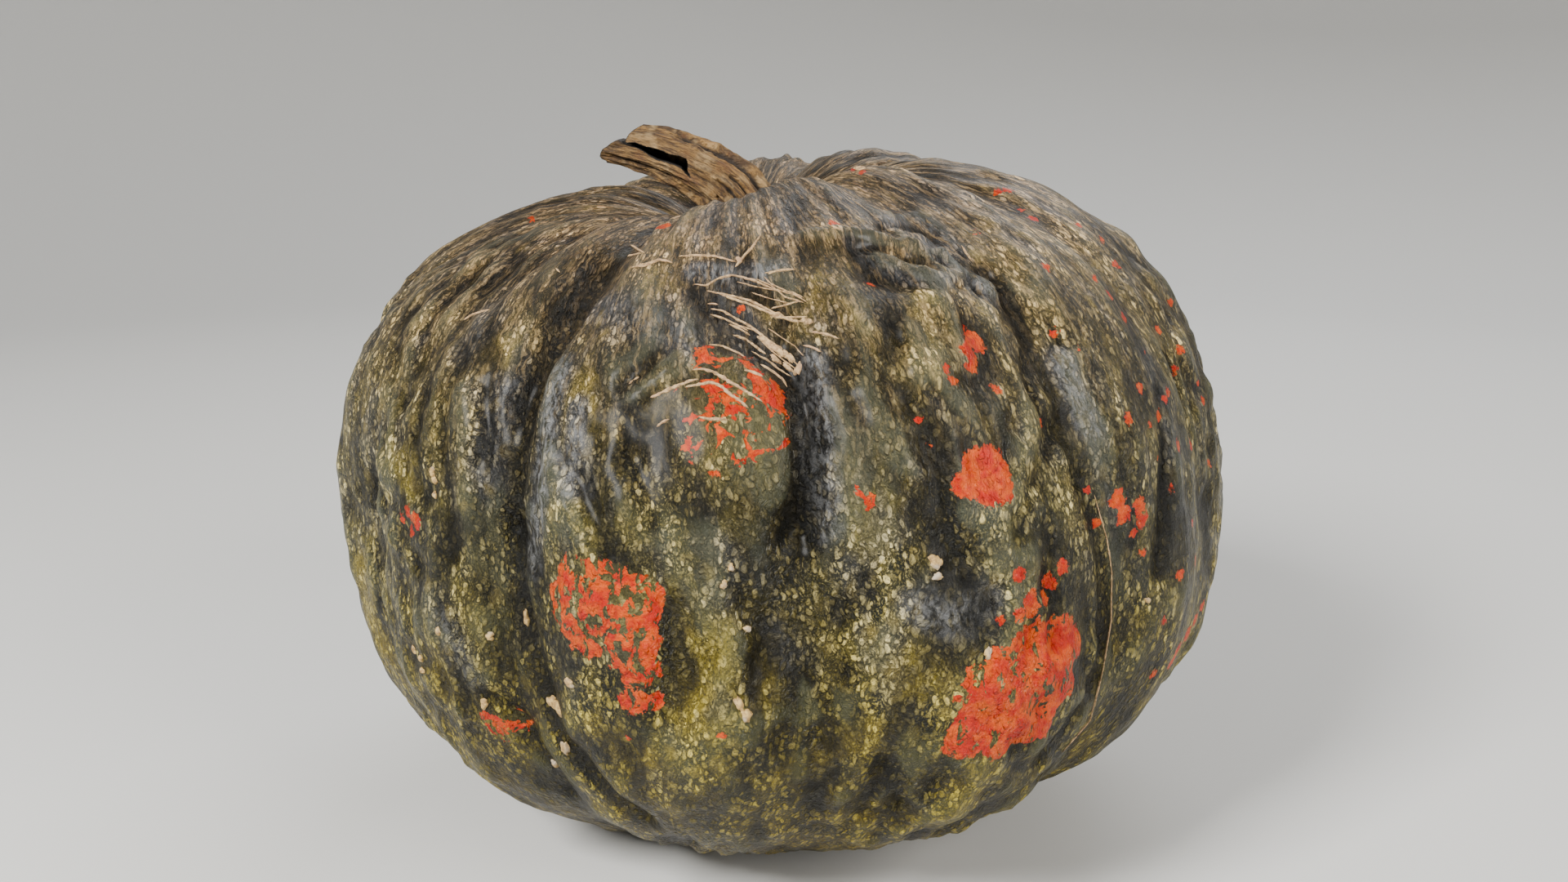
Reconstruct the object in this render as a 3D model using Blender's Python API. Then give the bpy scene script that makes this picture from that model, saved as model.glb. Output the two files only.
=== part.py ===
"""Ribbed green pumpkin with its woody stem, in metres, +Z up.

The fruit is one solid.  A place on its skin is a longitude and a way: longitude 0 faces -Y,
which is the front, and grows toward +X; the way runs from 0 at the stem's seat to 1 at the
blossom scar.  The stem is a second solid that stands on a flat seat in the crown's hollow.
"""
import bpy
import numpy as np

MM = 0.001

# The fruit: its meridian before the furrows are pressed in.
CREST_RADIUS = 0.1287
CROWN_RISE = 0.1057
UNDERSIDE_DROP = 0.0897
CROWN_FULLNESS = 2.87
BASE_FULLNESS = 2.14
PIT_DEPTH, PIT_RADIUS = 0.019, 0.031
SCAR_DEPTH, SCAR_RADIUS = 0.011, 0.022
# It grew lopsided: the crown sits to the left and its right shoulder stands higher.
PIT_SHIFT = (-0.012, 0.004)
SCAR_SHIFT = (-0.010, 0.0)
CROWN_TILT = (0.12, 0.03)
# The seat of the stem and the flats it rests on.
SEAT_RADIUS, SEAT_BLEND, SEAT_HEIGHT = 0.0125, 0.024, 0.0868
REST_FLAT = 0.0024
# The middle of the whole outline, seen from above, measured from the fruit's own axis.
CENTRE = (-0.0014, 0.0013)

# Furrows: longitude, depth in mm, and rise in mm of the lobe that follows, each at the crown,
# at the widest ring and at the base.
FURROWS = (
    ((-82, -92, -84), (4.0, 5.0, 3.5), (-0.5, -0.5, -2.5)),
    ((-41, -63, -54), (4.5, 5.5, 3.5), (0.0, -3.0, -2.5)),
    ((-24, -32, -24), (6.0, 8.5, 5.0), (0.0, 0.0, -3.5)),
    ((4, 3, 10), (1.0, 7.0, 3.0), (0.5, 2.5, -3.0)),
    ((34, 42, 48), (4.0, 7.0, 4.0), (0.0, -3.0, -2.5)),
    ((58, 66, 70), (3.5, 5.0, 3.5), (1.0, -1.0, -1.0)),
    ((86, 93, 96), (3.5, 6.0, 4.0), (-1.5, 0.0, -2.0)),
    ((124, 124, 124), (3.0, 6.5, 4.5), (1.5, 0.5, -2.5)),
    ((158, 160, 158), (2.5, 6.0, 4.0), (2.0, 0.0, -2.5)),
    ((193, 192, 194), (2.5, 7.0, 4.5), (1.5, 1.0, -3.0)),
    ((222, 220, 222), (3.0, 6.0, 4.0), (1.0, 0.0, -2.5)),
    ((250, 246, 250), (3.5, 6.5, 4.5), (1.5, 3.0, -2.5)),
)
STATIONS = (0.16, 0.50, 0.86)
CREST_POWER, FURROW_ROUND = 2.1, 0.13
FURROW_FADE = 0.026

# Swells and hollows: longitude, way, reach across and along in mm, slant in degrees, rise in mm.
SWELLS = (
    (-4, 0.385, 14, 34, 0, 4.0),
    (-3, 0.300, 13, 14, 0, -2.2),
    (-19, 0.490, 20, 28, -18, 3.6),
    (-10, 0.515, 8, 22, 0, -2.4),
    (-23, 0.350, 12, 26, 10, 1.8),
    (-17, 0.430, 12, 18, 20, 1.4),
    (-5, 0.560, 13, 26, 0, 2.0),
    (3, 0.520, 10, 20, 0, -1.8),
    (10, 0.400, 9, 40, 0, 1.4),
    (18, 0.380, 14, 26, -12, 1.6),
    (18, 0.262, 12, 9, 30, -2.0),
    (24, 0.300, 16, 10, -25, 1.8),
    (29, 0.430, 12, 24, -10, -1.6),
    (25, 0.560, 18, 26, 25, 2.6),
    (13, 0.640, 8, 30, 0, -3.0),
    (-36, 0.400, 12, 22, 0, 2.0),
    (-36, 0.310, 12, 16, 20, -1.8),
    (-41, 0.540, 16, 26, 0, 1.8),
    (44, 0.400, 9, 30, -10, 2.2),
    (55, 0.520, 12, 24, 0, 1.6),
    (-75, 0.450, 14, 30, 0, 1.8),
    (-120, 0.240, 22, 20, 0, 2.2),
    (140, 0.420, 18, 34, 10, 2.4),
    (176, 0.520, 16, 30, -10, 2.0),
    (207, 0.400, 16, 30, 0, -1.8),
    (234, 0.560, 18, 26, 15, 2.2),
    (110, 0.560, 14, 28, 0, -1.8),
)

# The fruit's mesh, and the finer steps its form is measured in.
AROUND, ALONG = 104, 46
LAST_RING = 0.99
MERIDIAN_STEPS = 1200
UNDERSIDE_STEPS = (720, 400)

# Rind and wood: base colour and roughness.
RIND = ((0.075, 0.078, 0.040), 0.42)
WOOD = ((0.230, 0.150, 0.085), 0.80)

# The stem, in mm: its axis, with heights from the seat, its radius at each point of the axis,
# and the angle and height of the woody ridges round it; angle 0 faces the front and 90 up.
STEM_AXIS = ((-12.0, 4.0, 0.0), (-12.3, 4.0, 5.2), (-14.9, 4.0, 10.6), (-19.5, 4.0, 15.2),
             (-26.3, 4.0, 19.0), (-36.4, 4.2, 23.2), (-46.0, 4.4, 25.4), (-55.0, 4.6, 27.0))
STEM_RADII = (11.6, 11.0, 10.4, 9.6, 8.8, 7.6, 6.4, 5.6)
STEM_RIDGES = ((8, 1.0), (37, 0.8), (72, 1.1), (108, 0.7), (146, 0.9), (185, 0.8), (222, 1.0), (262, 0.8),
               (298, 1.0), (334, 0.7))
GROOVE_SHARE, RIDGE_SHARE, RIDGE_WIDTH = 0.88, 0.14, 13.0
STEM_AROUND, STEM_ALONG = 48, 20
STEM_GAP = 0.0003
# The split of the far end, in mm, as outlines seen from the front: x and height from the seat.
# The slot opens to the front only; the trim cuts right through and leaves two uneven prongs.
SLOT_OUTLINE = ((-27.4, 16.4), (-28.0, 21.9), (-34.1, 23.9), (-45.4, 25.8), (-50.0, 27.5), (-45.4, 25.2),
                (-42.0, 24.1), (-34.1, 20.5))
SLOT_BACK = 7.5
TRIM_OUTLINE = ((-46.0, 25.6), (-45.4, 25.8), (-44.9, 29.0), (-42.6, 34.0), (-66.0, 34.0), (-66.0, 11.8),
                (-48.7, 27.0))
CUTTER_REACH = 30.0


def clear_scene():
    """Remove whatever the scene holds."""
    for obj in list(bpy.data.objects):
        bpy.data.objects.remove(obj, do_unlink=True)


def material(name, look):
    """A plain Principled material from a base colour and a roughness."""
    colour, roughness = look
    mat = bpy.data.materials.new(name)
    mat.use_nodes = True
    shader = mat.node_tree.nodes["Principled BSDF"]
    shader.inputs["Base Color"].default_value = (*colour, 1.0)
    shader.inputs["Roughness"].default_value = roughness
    shader.inputs["Metallic"].default_value = 0.0
    return mat


def ease(share):
    """Smooth step of a share that is clipped to 0..1."""
    share = np.clip(share, 0.0, 1.0)
    return share * share * (3.0 - 2.0 * share)


def meridian():
    """Ways, the length of the way, and at each way: radius, height, outward normal, and how far
    the crown's and the scar's shifts apply."""
    angle = np.linspace(0.0, np.pi, MERIDIAN_STEPS)
    sine, cosine = np.sin(angle), np.cos(angle)
    top = cosine > 0.0
    power = 2.0 / np.where(top, CROWN_FULLNESS, BASE_FULLNESS)
    radius = CREST_RADIUS * np.abs(sine) ** power
    height = np.where(top, CROWN_RISE, UNDERSIDE_DROP) * np.sign(cosine) * np.abs(cosine) ** power
    height -= top * PIT_DEPTH * np.exp(-((radius / PIT_RADIUS) ** 2))
    height += ~top * SCAR_DEPTH * np.exp(-((radius / SCAR_RADIUS) ** 2))
    length = np.concatenate([[0.0], np.cumsum(np.hypot(np.diff(radius), np.diff(height)))])
    even = np.linspace(0.0, length[-1], MERIDIAN_STEPS)
    radius, height = np.interp(even, length, radius), np.interp(even, length, height)
    out_r, out_h = -np.gradient(height), np.gradient(radius)
    norm = np.hypot(out_r, out_h)
    step = np.arange(MERIDIAN_STEPS)
    upper = np.where(step < height.argmax(), 1.0, np.clip(height / height.max(), 0.0, 1.0) ** 2)
    lower = np.where(step > height.argmin(), 1.0, np.clip(height / height.min(), 0.0, 1.0) ** 2)
    return even / length[-1], length[-1], (radius, height, out_r / norm, out_h / norm, upper, lower)


def between_stations(values, way):
    """A value given at the three stations, eased between them."""
    first = ease((way - STATIONS[0]) / (STATIONS[1] - STATIONS[0]))
    second = ease((way - STATIONS[1]) / (STATIONS[2] - STATIONS[1]))
    return values[0] + (values[1] - values[0]) * first + (values[2] - values[1]) * second


def rib_push(longitude, way):
    """How far furrows and lobes move the skin outward."""
    places = np.stack([np.radians(between_stations(f[0], way)) for f in FURROWS])
    depths = np.stack([between_stations(f[1], way) for f in FURROWS]) * MM
    rises = np.stack([between_stations(f[2], way) for f in FURROWS]) * MM
    past = (longitude[None] - places) % (2.0 * np.pi)
    ahead = 2.0 * np.pi - past
    before, after = past.argmin(0)[None], ahead.argmin(0)[None]
    back = np.take_along_axis(past, before, 0)[0]
    front = np.take_along_axis(ahead, after, 0)[0]
    side = 2.0 * back / (back + front) - 1.0
    rim = 1.0 - np.abs(side)
    rounded_crest = np.sqrt(1.0 + FURROW_ROUND**2) - FURROW_ROUND
    rim = (np.sqrt(rim**2 + FURROW_ROUND**2) - FURROW_ROUND) / rounded_crest
    pressed = (1.0 - rim) ** CREST_POWER
    nearest = np.where(side < 0.0, before[0], after[0])[None]
    depth = np.take_along_axis(depths, nearest, 0)[0]
    return np.take_along_axis(rises, before, 0)[0] * (1.0 - pressed) - depth * pressed


def swell_push(longitude, way, radius, length):
    """How far the swells and hollows move the skin outward."""
    push = np.zeros_like(radius)
    for place, at, across, along, slant, rise in SWELLS:
        right = ((longitude - np.radians(place) + np.pi) % (2.0 * np.pi) - np.pi) * radius / MM
        down = (way - at) * length / MM
        cosine, sine = np.cos(np.radians(slant)), np.sin(np.radians(slant))
        u, v = right * cosine + down * sine, down * cosine - right * sine
        push += rise * MM * np.exp(-((u / across) ** 2) - (v / along) ** 2)
    return push


def skin(longitude, way):
    """Points of the fruit's skin, with heights from its widest plane."""
    ways, length, rows = meridian()
    radius, height, out_r, out_h, upper, lower = (np.interp(way, ways, row) for row in rows)
    push = rib_push(longitude, way) * (1.0 - np.exp(-((radius / FURROW_FADE) ** 2)))
    push += swell_push(longitude, way, radius, length)
    spread, z = radius + out_r * push, height + out_h * push
    x, y = spread * np.sin(longitude), -spread * np.cos(longitude)
    z = z + upper * (CROWN_TILT[0] * x + CROWN_TILT[1] * y)
    seat = ease((SEAT_BLEND - spread) / (SEAT_BLEND - SEAT_RADIUS)) * (height > 0.0)
    z = z * (1.0 - seat) + SEAT_HEIGHT * seat
    x = x + PIT_SHIFT[0] * upper + SCAR_SHIFT[0] * lower - CENTRE[0]
    y = y + PIT_SHIFT[1] * upper + SCAR_SHIFT[1] * lower - CENTRE[1]
    return x, y, z


def ring_ways():
    """Ways of the fruit's rings, from the rim of the seat to just short of the scar's middle."""
    ways, _, rows = meridian()
    top = ways < 0.5
    first = np.interp(SEAT_RADIUS, rows[0][top], ways[top])
    return np.linspace(first, LAST_RING, ALONG)


def closed_tube(rings, first_middle, last_middle):
    """Vertices and faces of a closed solid from rings of points, capped by fans."""
    count, around, _ = rings.shape
    vertices = [tuple(p) for p in rings.reshape(-1, 3)] + [tuple(first_middle), tuple(last_middle)]
    start, end = count * around, count * around + 1
    faces = []
    for i in range(around):
        j = (i + 1) % around
        faces.append((start, i, j))
        for k in range(count - 1):
            faces.append((k * around + i, (k + 1) * around + i, (k + 1) * around + j, k * around + j))
        faces.append((end, (count - 1) * around + j, (count - 1) * around + i))
    return vertices, faces


def add_object(name, vertices, faces, mat):
    """A smooth-shaded mesh object with its material."""
    mesh = bpy.data.meshes.new(name)
    mesh.from_pydata(vertices, [], faces)
    mesh.validate()
    mesh.materials.append(mat)
    mesh.shade_smooth()
    obj = bpy.data.objects.new(name, mesh)
    bpy.context.scene.collection.objects.link(obj)
    return obj


def rest_height():
    """Height of the plane the fruit rests on, from its widest plane."""
    around, along = UNDERSIDE_STEPS
    longitude, way = np.meshgrid(np.linspace(0.0, 2.0 * np.pi, around), np.linspace(0.5, 1.0, along))
    return skin(longitude, way)[2].min() + REST_FLAT


def build_fruit():
    """The whole fruit as one solid, flattened where it rests; gives the height of its seat."""
    rest = rest_height()
    longitudes = np.linspace(0.0, 2.0 * np.pi, AROUND, endpoint=False)
    longitude, way = np.meshgrid(longitudes, ring_ways())
    x, y, z = skin(longitude, way)
    rings = np.stack([x, y, np.maximum(z - rest, 0.0)], axis=-1)
    seat = rings[0].mean(axis=0)
    rings[0, :, 2] = seat[2]
    scar = rings[-1].mean(axis=0)
    vertices, faces = closed_tube(rings, seat, scar)
    add_object("fruit", vertices, faces, material("rind", RIND))
    return seat[2]


def stem_station(share):
    """Point, radius and direction of the stem at a share of its length, in mm."""
    knots = np.array(STEM_AXIS)
    at = np.concatenate([[0.0], np.cumsum(np.linalg.norm(np.diff(knots, axis=0), axis=1))])
    at /= at[-1]
    slopes = np.gradient(knots, at, axis=0)
    i = min(int(np.searchsorted(at, share, side="right")) - 1, len(at) - 2)
    span = at[i + 1] - at[i]
    s = (share - at[i]) / span
    point = (
        (1.0 + 2.0 * s) * (1.0 - s) ** 2 * knots[i]
        + s * (1.0 - s) ** 2 * span * slopes[i]
        + s * s * (3.0 - 2.0 * s) * knots[i + 1]
        + s * s * (s - 1.0) * span * slopes[i + 1]
    )
    direction = slopes[i] * (1.0 - s) + slopes[i + 1] * s
    if share == 0.0:
        direction = np.array([0.0, 0.0, 1.0])
    return point, np.interp(share, at, STEM_RADII), direction / np.linalg.norm(direction)


def ridge_share(angle):
    """Share of the radius at an angle round the stem: grooves between woody ridges."""
    share = GROOVE_SHARE
    for place, height in STEM_RIDGES:
        off = (angle - place + 180.0) % 360.0 - 180.0
        share += RIDGE_SHARE * height * np.exp(-((off / RIDGE_WIDTH) ** 2))
    return share


def stem_rings():
    """Rings of points along the stem, in mm."""
    rings = []
    for share in np.linspace(0.0, 1.0, STEM_ALONG):
        point, radius, direction = stem_station(share)
        front = np.array([0.0, -1.0, 0.0])
        front -= direction * front.dot(direction)
        front /= np.linalg.norm(front)
        up = np.cross(direction, front)
        ring = []
        for angle in np.linspace(0.0, 360.0, STEM_AROUND, endpoint=False):
            turn = np.radians(angle)
            ring.append(point + radius * ridge_share(angle) * (np.cos(turn) * front + np.sin(turn) * up))
        rings.append(ring)
    return np.array(rings)


def on_seat(points, seat_height):
    """Points in mm from the fruit's axis and the stem's seat, as points of the whole part."""
    return np.asarray(points) * MM + np.array([-CENTRE[0], -CENTRE[1], seat_height + STEM_GAP])


def add_cutter(name, outline, back, seat_height):
    """A hidden prism that runs from in front of the stem to the given depth."""
    count = len(outline)
    points = [(x, -CUTTER_REACH, z) for x, z in outline] + [(x, back, z) for x, z in outline]
    faces = [tuple(range(count)), tuple(range(2 * count - 1, count - 1, -1))]
    faces += [(i, i + count, (i + 1) % count + count, (i + 1) % count) for i in range(count)]
    mesh = bpy.data.meshes.new(name)
    mesh.from_pydata(on_seat(points, seat_height).tolist(), [], faces)
    cutter = bpy.data.objects.new(name, mesh)
    cutter.hide_render = True
    cutter.display_type = "WIRE"
    bpy.context.scene.collection.objects.link(cutter)
    return cutter


def build_stem(seat_height):
    """The ridged stem, slotted and trimmed into two prongs at its far end."""
    rings = on_seat(stem_rings(), seat_height)
    vertices, faces = closed_tube(rings, rings[0].mean(axis=0), rings[-1].mean(axis=0))
    stem = add_object("stem", vertices, faces, material("stem_wood", WOOD))
    slot = add_cutter("slot_cutter", SLOT_OUTLINE, SLOT_BACK, seat_height)
    trim = add_cutter("trim_cutter", TRIM_OUTLINE, CUTTER_REACH, seat_height)
    for cutter in (slot, trim):
        cut = stem.modifiers.new(cutter.name, "BOOLEAN")
        cut.operation = "DIFFERENCE"
        cut.solver = "EXACT"
        cut.object = cutter


def main():
    clear_scene()
    seat_height = build_fruit()
    build_stem(seat_height)


main()
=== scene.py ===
"""The finished look of a ribbed green pumpkin on its CAD frame, in metres, +Z up.

A place on the fruit's skin is a longitude and a way: longitude 0 faces -Y, which is the front,
and grows toward +X; the way runs from 0 at the stem's seat to 1 at the blossom scar.  Marks that
the photo shows are listed by their place in it, and are put where that line of sight meets the
fruit, so they lie on the skin from every side.
"""

import math
import random

import bpy
import numpy as np
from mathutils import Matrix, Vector, noise
from mathutils.bvhtree import BVHTree


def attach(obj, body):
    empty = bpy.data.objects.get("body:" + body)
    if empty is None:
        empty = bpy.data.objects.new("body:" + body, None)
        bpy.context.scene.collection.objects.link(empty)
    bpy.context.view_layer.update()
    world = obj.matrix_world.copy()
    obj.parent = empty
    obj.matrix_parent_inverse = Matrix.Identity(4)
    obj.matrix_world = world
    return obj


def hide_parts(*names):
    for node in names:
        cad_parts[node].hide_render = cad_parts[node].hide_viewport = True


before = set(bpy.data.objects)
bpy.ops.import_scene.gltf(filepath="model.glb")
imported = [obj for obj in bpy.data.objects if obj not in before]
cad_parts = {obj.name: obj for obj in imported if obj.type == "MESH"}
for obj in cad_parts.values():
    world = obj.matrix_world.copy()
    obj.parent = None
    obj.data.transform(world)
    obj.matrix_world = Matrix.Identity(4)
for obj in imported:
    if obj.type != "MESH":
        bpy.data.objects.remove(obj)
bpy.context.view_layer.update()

MM = 0.001

# The fruit's form, the same as in the CAD source.
CREST_RADIUS = 0.1287
CROWN_RISE = 0.1057
UNDERSIDE_DROP = 0.0897
CROWN_FULLNESS = 2.87
BASE_FULLNESS = 2.14
PIT_DEPTH, PIT_RADIUS = 0.019, 0.031
SCAR_DEPTH, SCAR_RADIUS = 0.011, 0.022
PIT_SHIFT = (-0.012, 0.004)
SCAR_SHIFT = (-0.010, 0.0)
CROWN_TILT = (0.12, 0.03)
SEAT_RADIUS, SEAT_BLEND, SEAT_HEIGHT = 0.0125, 0.024, 0.0868
REST_DROP = 0.08303
CENTRE = (-0.0014, 0.0013)
FURROWS = (
    ((-82, -92, -84), (4.0, 5.0, 3.5), (-0.5, -0.5, -2.5)),
    ((-41, -63, -54), (4.5, 5.5, 3.5), (0.0, -3.0, -2.5)),
    ((-25, -34, -27), (6.0, 8.5, 5.0), (0.0, 0.0, -3.5)),
    ((2, 0.5, 9), (1.0, 7.0, 3.0), (0.5, 2.5, -3.0)),
    ((34, 42, 48), (4.0, 7.0, 4.0), (0.0, -3.0, -2.5)),
    ((58, 66, 70), (3.5, 5.0, 3.5), (1.0, -1.0, -1.0)),
    ((86, 93, 96), (3.5, 6.0, 4.0), (-1.5, 0.0, -2.0)),
    ((124, 124, 124), (3.0, 6.5, 4.5), (1.5, 0.5, -2.5)),
    ((158, 160, 158), (2.5, 6.0, 4.0), (2.0, 0.0, -2.5)),
    ((193, 192, 194), (2.5, 7.0, 4.5), (1.5, 1.0, -3.0)),
    ((222, 220, 222), (3.0, 6.0, 4.0), (1.0, 0.0, -2.5)),
    ((250, 246, 250), (3.5, 6.5, 4.5), (1.5, 3.0, -2.5)),
)
STATIONS = (0.16, 0.50, 0.86)
CREST_POWER, FURROW_ROUND = 2.1, 0.13
FURROW_FADE = 0.026
SWELLS = (
    (-4, 0.385, 14, 34, 0, 4.0),
    (-3, 0.300, 13, 14, 0, -2.2),
    (-19, 0.490, 20, 28, -18, 3.6),
    (-10, 0.515, 8, 22, 0, -2.4),
    (-23, 0.350, 12, 26, 10, 1.8),
    (-17, 0.430, 12, 18, 20, 1.4),
    (-5, 0.560, 13, 26, 0, 2.0),
    (3, 0.520, 10, 20, 0, -1.8),
    (10, 0.400, 9, 40, 0, 1.4),
    (18, 0.380, 14, 26, -12, 1.6),
    (18, 0.262, 12, 9, 30, -2.0),
    (24, 0.300, 16, 10, -25, 1.8),
    (29, 0.430, 12, 24, -10, -1.6),
    (25, 0.560, 18, 26, 25, 2.6),
    (13, 0.640, 8, 30, 0, -3.0),
    (-36, 0.400, 12, 22, 0, 2.0),
    (-36, 0.310, 12, 16, 20, -1.8),
    (-41, 0.540, 16, 26, 0, 1.8),
    (44, 0.400, 9, 30, -10, 2.2),
    (55, 0.520, 12, 24, 0, 1.6),
    (-75, 0.450, 14, 30, 0, 1.8),
    (-120, 0.240, 22, 20, 0, 2.2),
    (140, 0.420, 18, 34, 10, 2.4),
    (176, 0.520, 16, 30, -10, 2.0),
    (207, 0.400, 16, 30, 0, -1.8),
    (234, 0.560, 18, 26, 15, 2.2),
    (110, 0.560, 14, 28, 0, -1.8),
    (-28, 0.125, 11, 24, 0, -1.8),
    (8, 0.125, 11, 24, 0, 2.1),
    (26, 0.125, 11, 24, 0, 2.6),
    (46, 0.125, 11, 24, 0, 3.5),
)
MERIDIAN_STEPS = 1200

# The fine skin's mesh, and the pace of its grain at the crown against that lower down.
AROUND, ALONG = 400, 234
GRAIN_AT_CROWN = 0.7
LAST_RING = 0.995

# The photo: its size, its focal length and the point straight ahead of the lens, in pixels;
# the lens stands at this distance and elevation from the middle of the fruit's widest ring.
PHOTO_WIDTH, PHOTO_HEIGHT = 1920, 1080
PHOTO_FOCAL = 1920.0
PHOTO_AHEAD = (963.0, 640.3)
EYE_DISTANCE, EYE_ELEVATION = 0.480, math.radians(16.2)
PIXEL = 0.235 * MM

# Folds and creases of the skin: rise in mm, half width in mm, and the line in photo pixels.
FOLDS = (
    (1.3, 2.6, ((980, 288), (1031, 287), (1056, 298), (1087, 302), (1123, 314), (1158, 316))),
    (-1.8, 3.2, ((1040, 300), (1052, 318), (1066, 338), (1096, 344), (1122, 352))),
    (1.2, 2.4, ((1058, 322), (1066, 330), (1092, 330), (1115, 341), (1150, 345), (1177, 338))),
    (1.4, 1.3, ((1038, 286), (1070, 294), (1102, 303), (1146, 314), (1180, 336), (1211, 362))),
    (-1.5, 1.2, ((1044, 300), (1076, 306), (1106, 316), (1140, 328), (1170, 350))),
    (0.9, 1.1, ((1052, 314), (1084, 320), (1112, 332), (1146, 352), (1160, 374))),
    (1.0, 1.2, ((1112, 286), (1136, 292), (1160, 304), (1192, 330))),
    (-1.1, 1.1, ((1080, 280), (1110, 276), (1146, 296), (1186, 318), (1216, 350))),
    (1.0, 2.4, ((1090, 266), (1123, 266), (1146, 281), (1160, 300), (1190, 322))),
    (-1.0, 2.8, ((1100, 280), (1130, 285), (1148, 300), (1175, 325))),
    (-2.0, 3.0, ((1235, 373), (1255, 403), (1258, 434), (1266, 482), (1286, 515), (1309, 541), (1325, 585))),
    (-1.5, 2.5, ((1325, 585), (1340, 640), (1350, 700), (1349, 780), (1330, 850), (1290, 915))),
    (0.9, 1.6, ((1345, 600), (1362, 700), (1355, 800), (1330, 870), (1300, 920))),
    (-2.2, 3.6, ((733, 331), (702, 387), (668, 440), (645, 492), (636, 560), (630, 640))),
    (-2.4, 3.4, ((630, 640), (640, 750), (655, 820), (685, 900), (725, 955), (765, 992), (792, 1012))),
    (-1.3, 2.4, ((763, 472), (794, 449), (822, 427))),
    (1.0, 2.4, ((772, 484), (804, 460), (832, 440))),
    (-4.4, 4.2, ((962, 440), (978, 480), (986, 530), (988, 580), (982, 620), (976, 655))),
    (1.8, 4.0, ((946, 470), (958, 505), (964, 560), (958, 605))),
    (-1.4, 3.4, ((868, 372), (900, 400), (930, 430), (955, 458))),
    (-1.6, 3.0, ((1023, 742), (1027, 780), (1031, 824))),
    (-2.0, 4.5, ((925, 752), (936, 773), (944, 800))),
    (-1.4, 3.2, ((1086, 934), (1096, 968), (1106, 1006))),
    (-1.6, 3.0, ((820, 738), (826, 780), (820, 830), (812, 868))),
    (1.0, 3.0, ((870, 650), (880, 700), (890, 760), (905, 830))),
    (-1.5, 3.0, ((690, 560), (712, 590), (735, 640), (744, 670))),
    (1.2, 3.0, ((672, 560), (690, 610), (716, 650))),
    (-1.3, 2.6, ((775, 560), (790, 600), (797, 640))),
    (-1.5, 3.0, ((592, 470), (596, 520), (586, 560))),
    (-1.2, 3.0, ((545, 480), (538, 540), (545, 610), (556, 680))),
    (1.1, 3.2, ((505, 430), (486, 500), (478, 580), (484, 660))),
    (-1.3, 3.0, ((1140, 540), (1150, 600), (1162, 660), (1180, 700))),
    (-1.2, 2.6, ((1100, 420), (1112, 470), (1120, 520), (1138, 560))),
    (1.0, 2.6, ((1120, 400), (1130, 450), (1142, 500))),
    (-1.4, 3.0, ((1180, 700), (1195, 735), (1190, 765))),
    (1.5, 3.0, ((1310, 440), (1335, 500), (1352, 560))),
    (-1.4, 2.6, ((1420, 480), (1430, 560), (1428, 640), (1420, 700))),
    (-1.2, 2.2, ((600, 850), (640, 880), (680, 935), (700, 970))),
)

# The rind's own gloss and its waxy coat.
RIND_SPECULAR = 0.20
COAT_WEIGHT, COAT_ROUGHNESS = 0.05, 0.22

# Soft patches of tone: strength, reach in mm, and the line in photo pixels.
# The bluish marks are painted sheen on the lobes' flanks and folds, partly a waxy bloom and partly a painted highlight.
BLUISH_SHEEN = (
    (1.0, 3.0, ((1042, 292), (1062, 318), (1090, 332), (1121, 343), (1165, 342))),
    (0.9, 4.0, ((1085, 268), (1125, 268), (1152, 288), (1180, 315))),
    (1.7, 4.5, ((684, 450), (672, 500), (664, 560), (658, 620), (652, 690))),
    (1.2, 3.5, ((708, 500), (700, 560), (692, 600))),
    (0.8, 3.5, ((716, 560), (722, 600))),
    (1.7, 4.0, ((1298, 440), (1318, 480), (1337, 525))),
    (0.7, 4.0, ((1342, 545), (1360, 620), (1368, 700))),
    (0.7, 4.0, ((800, 536), (806, 580))),
    (0.8, 5.0, ((949, 770), (966, 805))),
    (1.0, 7.0, ((1128, 742), (1165, 764), (1204, 738))),
    (0.9, 8.0, ((622, 478), (606, 530), (600, 590))),
    (1.4, 4.5, ((856, 332), (900, 340), (945, 330))),
    (1.4, 6.0, ((990, 450), (1003, 510), (1008, 570), (1008, 640))),
    (0.7, 7.0, ((596, 380), (570, 430))),
    (1.0, 6.0, ((880, 360), (905, 400), (930, 440))),
    (1.2, 5.0, ((1140, 300), (1180, 330), (1210, 356))),
    (0.8, 7.0, ((540, 760), (560, 800), (575, 830))),
    (0.7, 5.0, ((800, 195), (850, 225), (820, 210))),
    (0.6, 5.0, ((885, 660), (900, 700), (890, 740))),
    (0.6, 6.0, ((1040, 690), (1050, 730))),
    (0.8, 9.0, ((735, 372), (790, 390), (846, 420))),
    (0.7, 7.0, ((1402, 440), (1424, 500), (1436, 560))),
)
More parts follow.
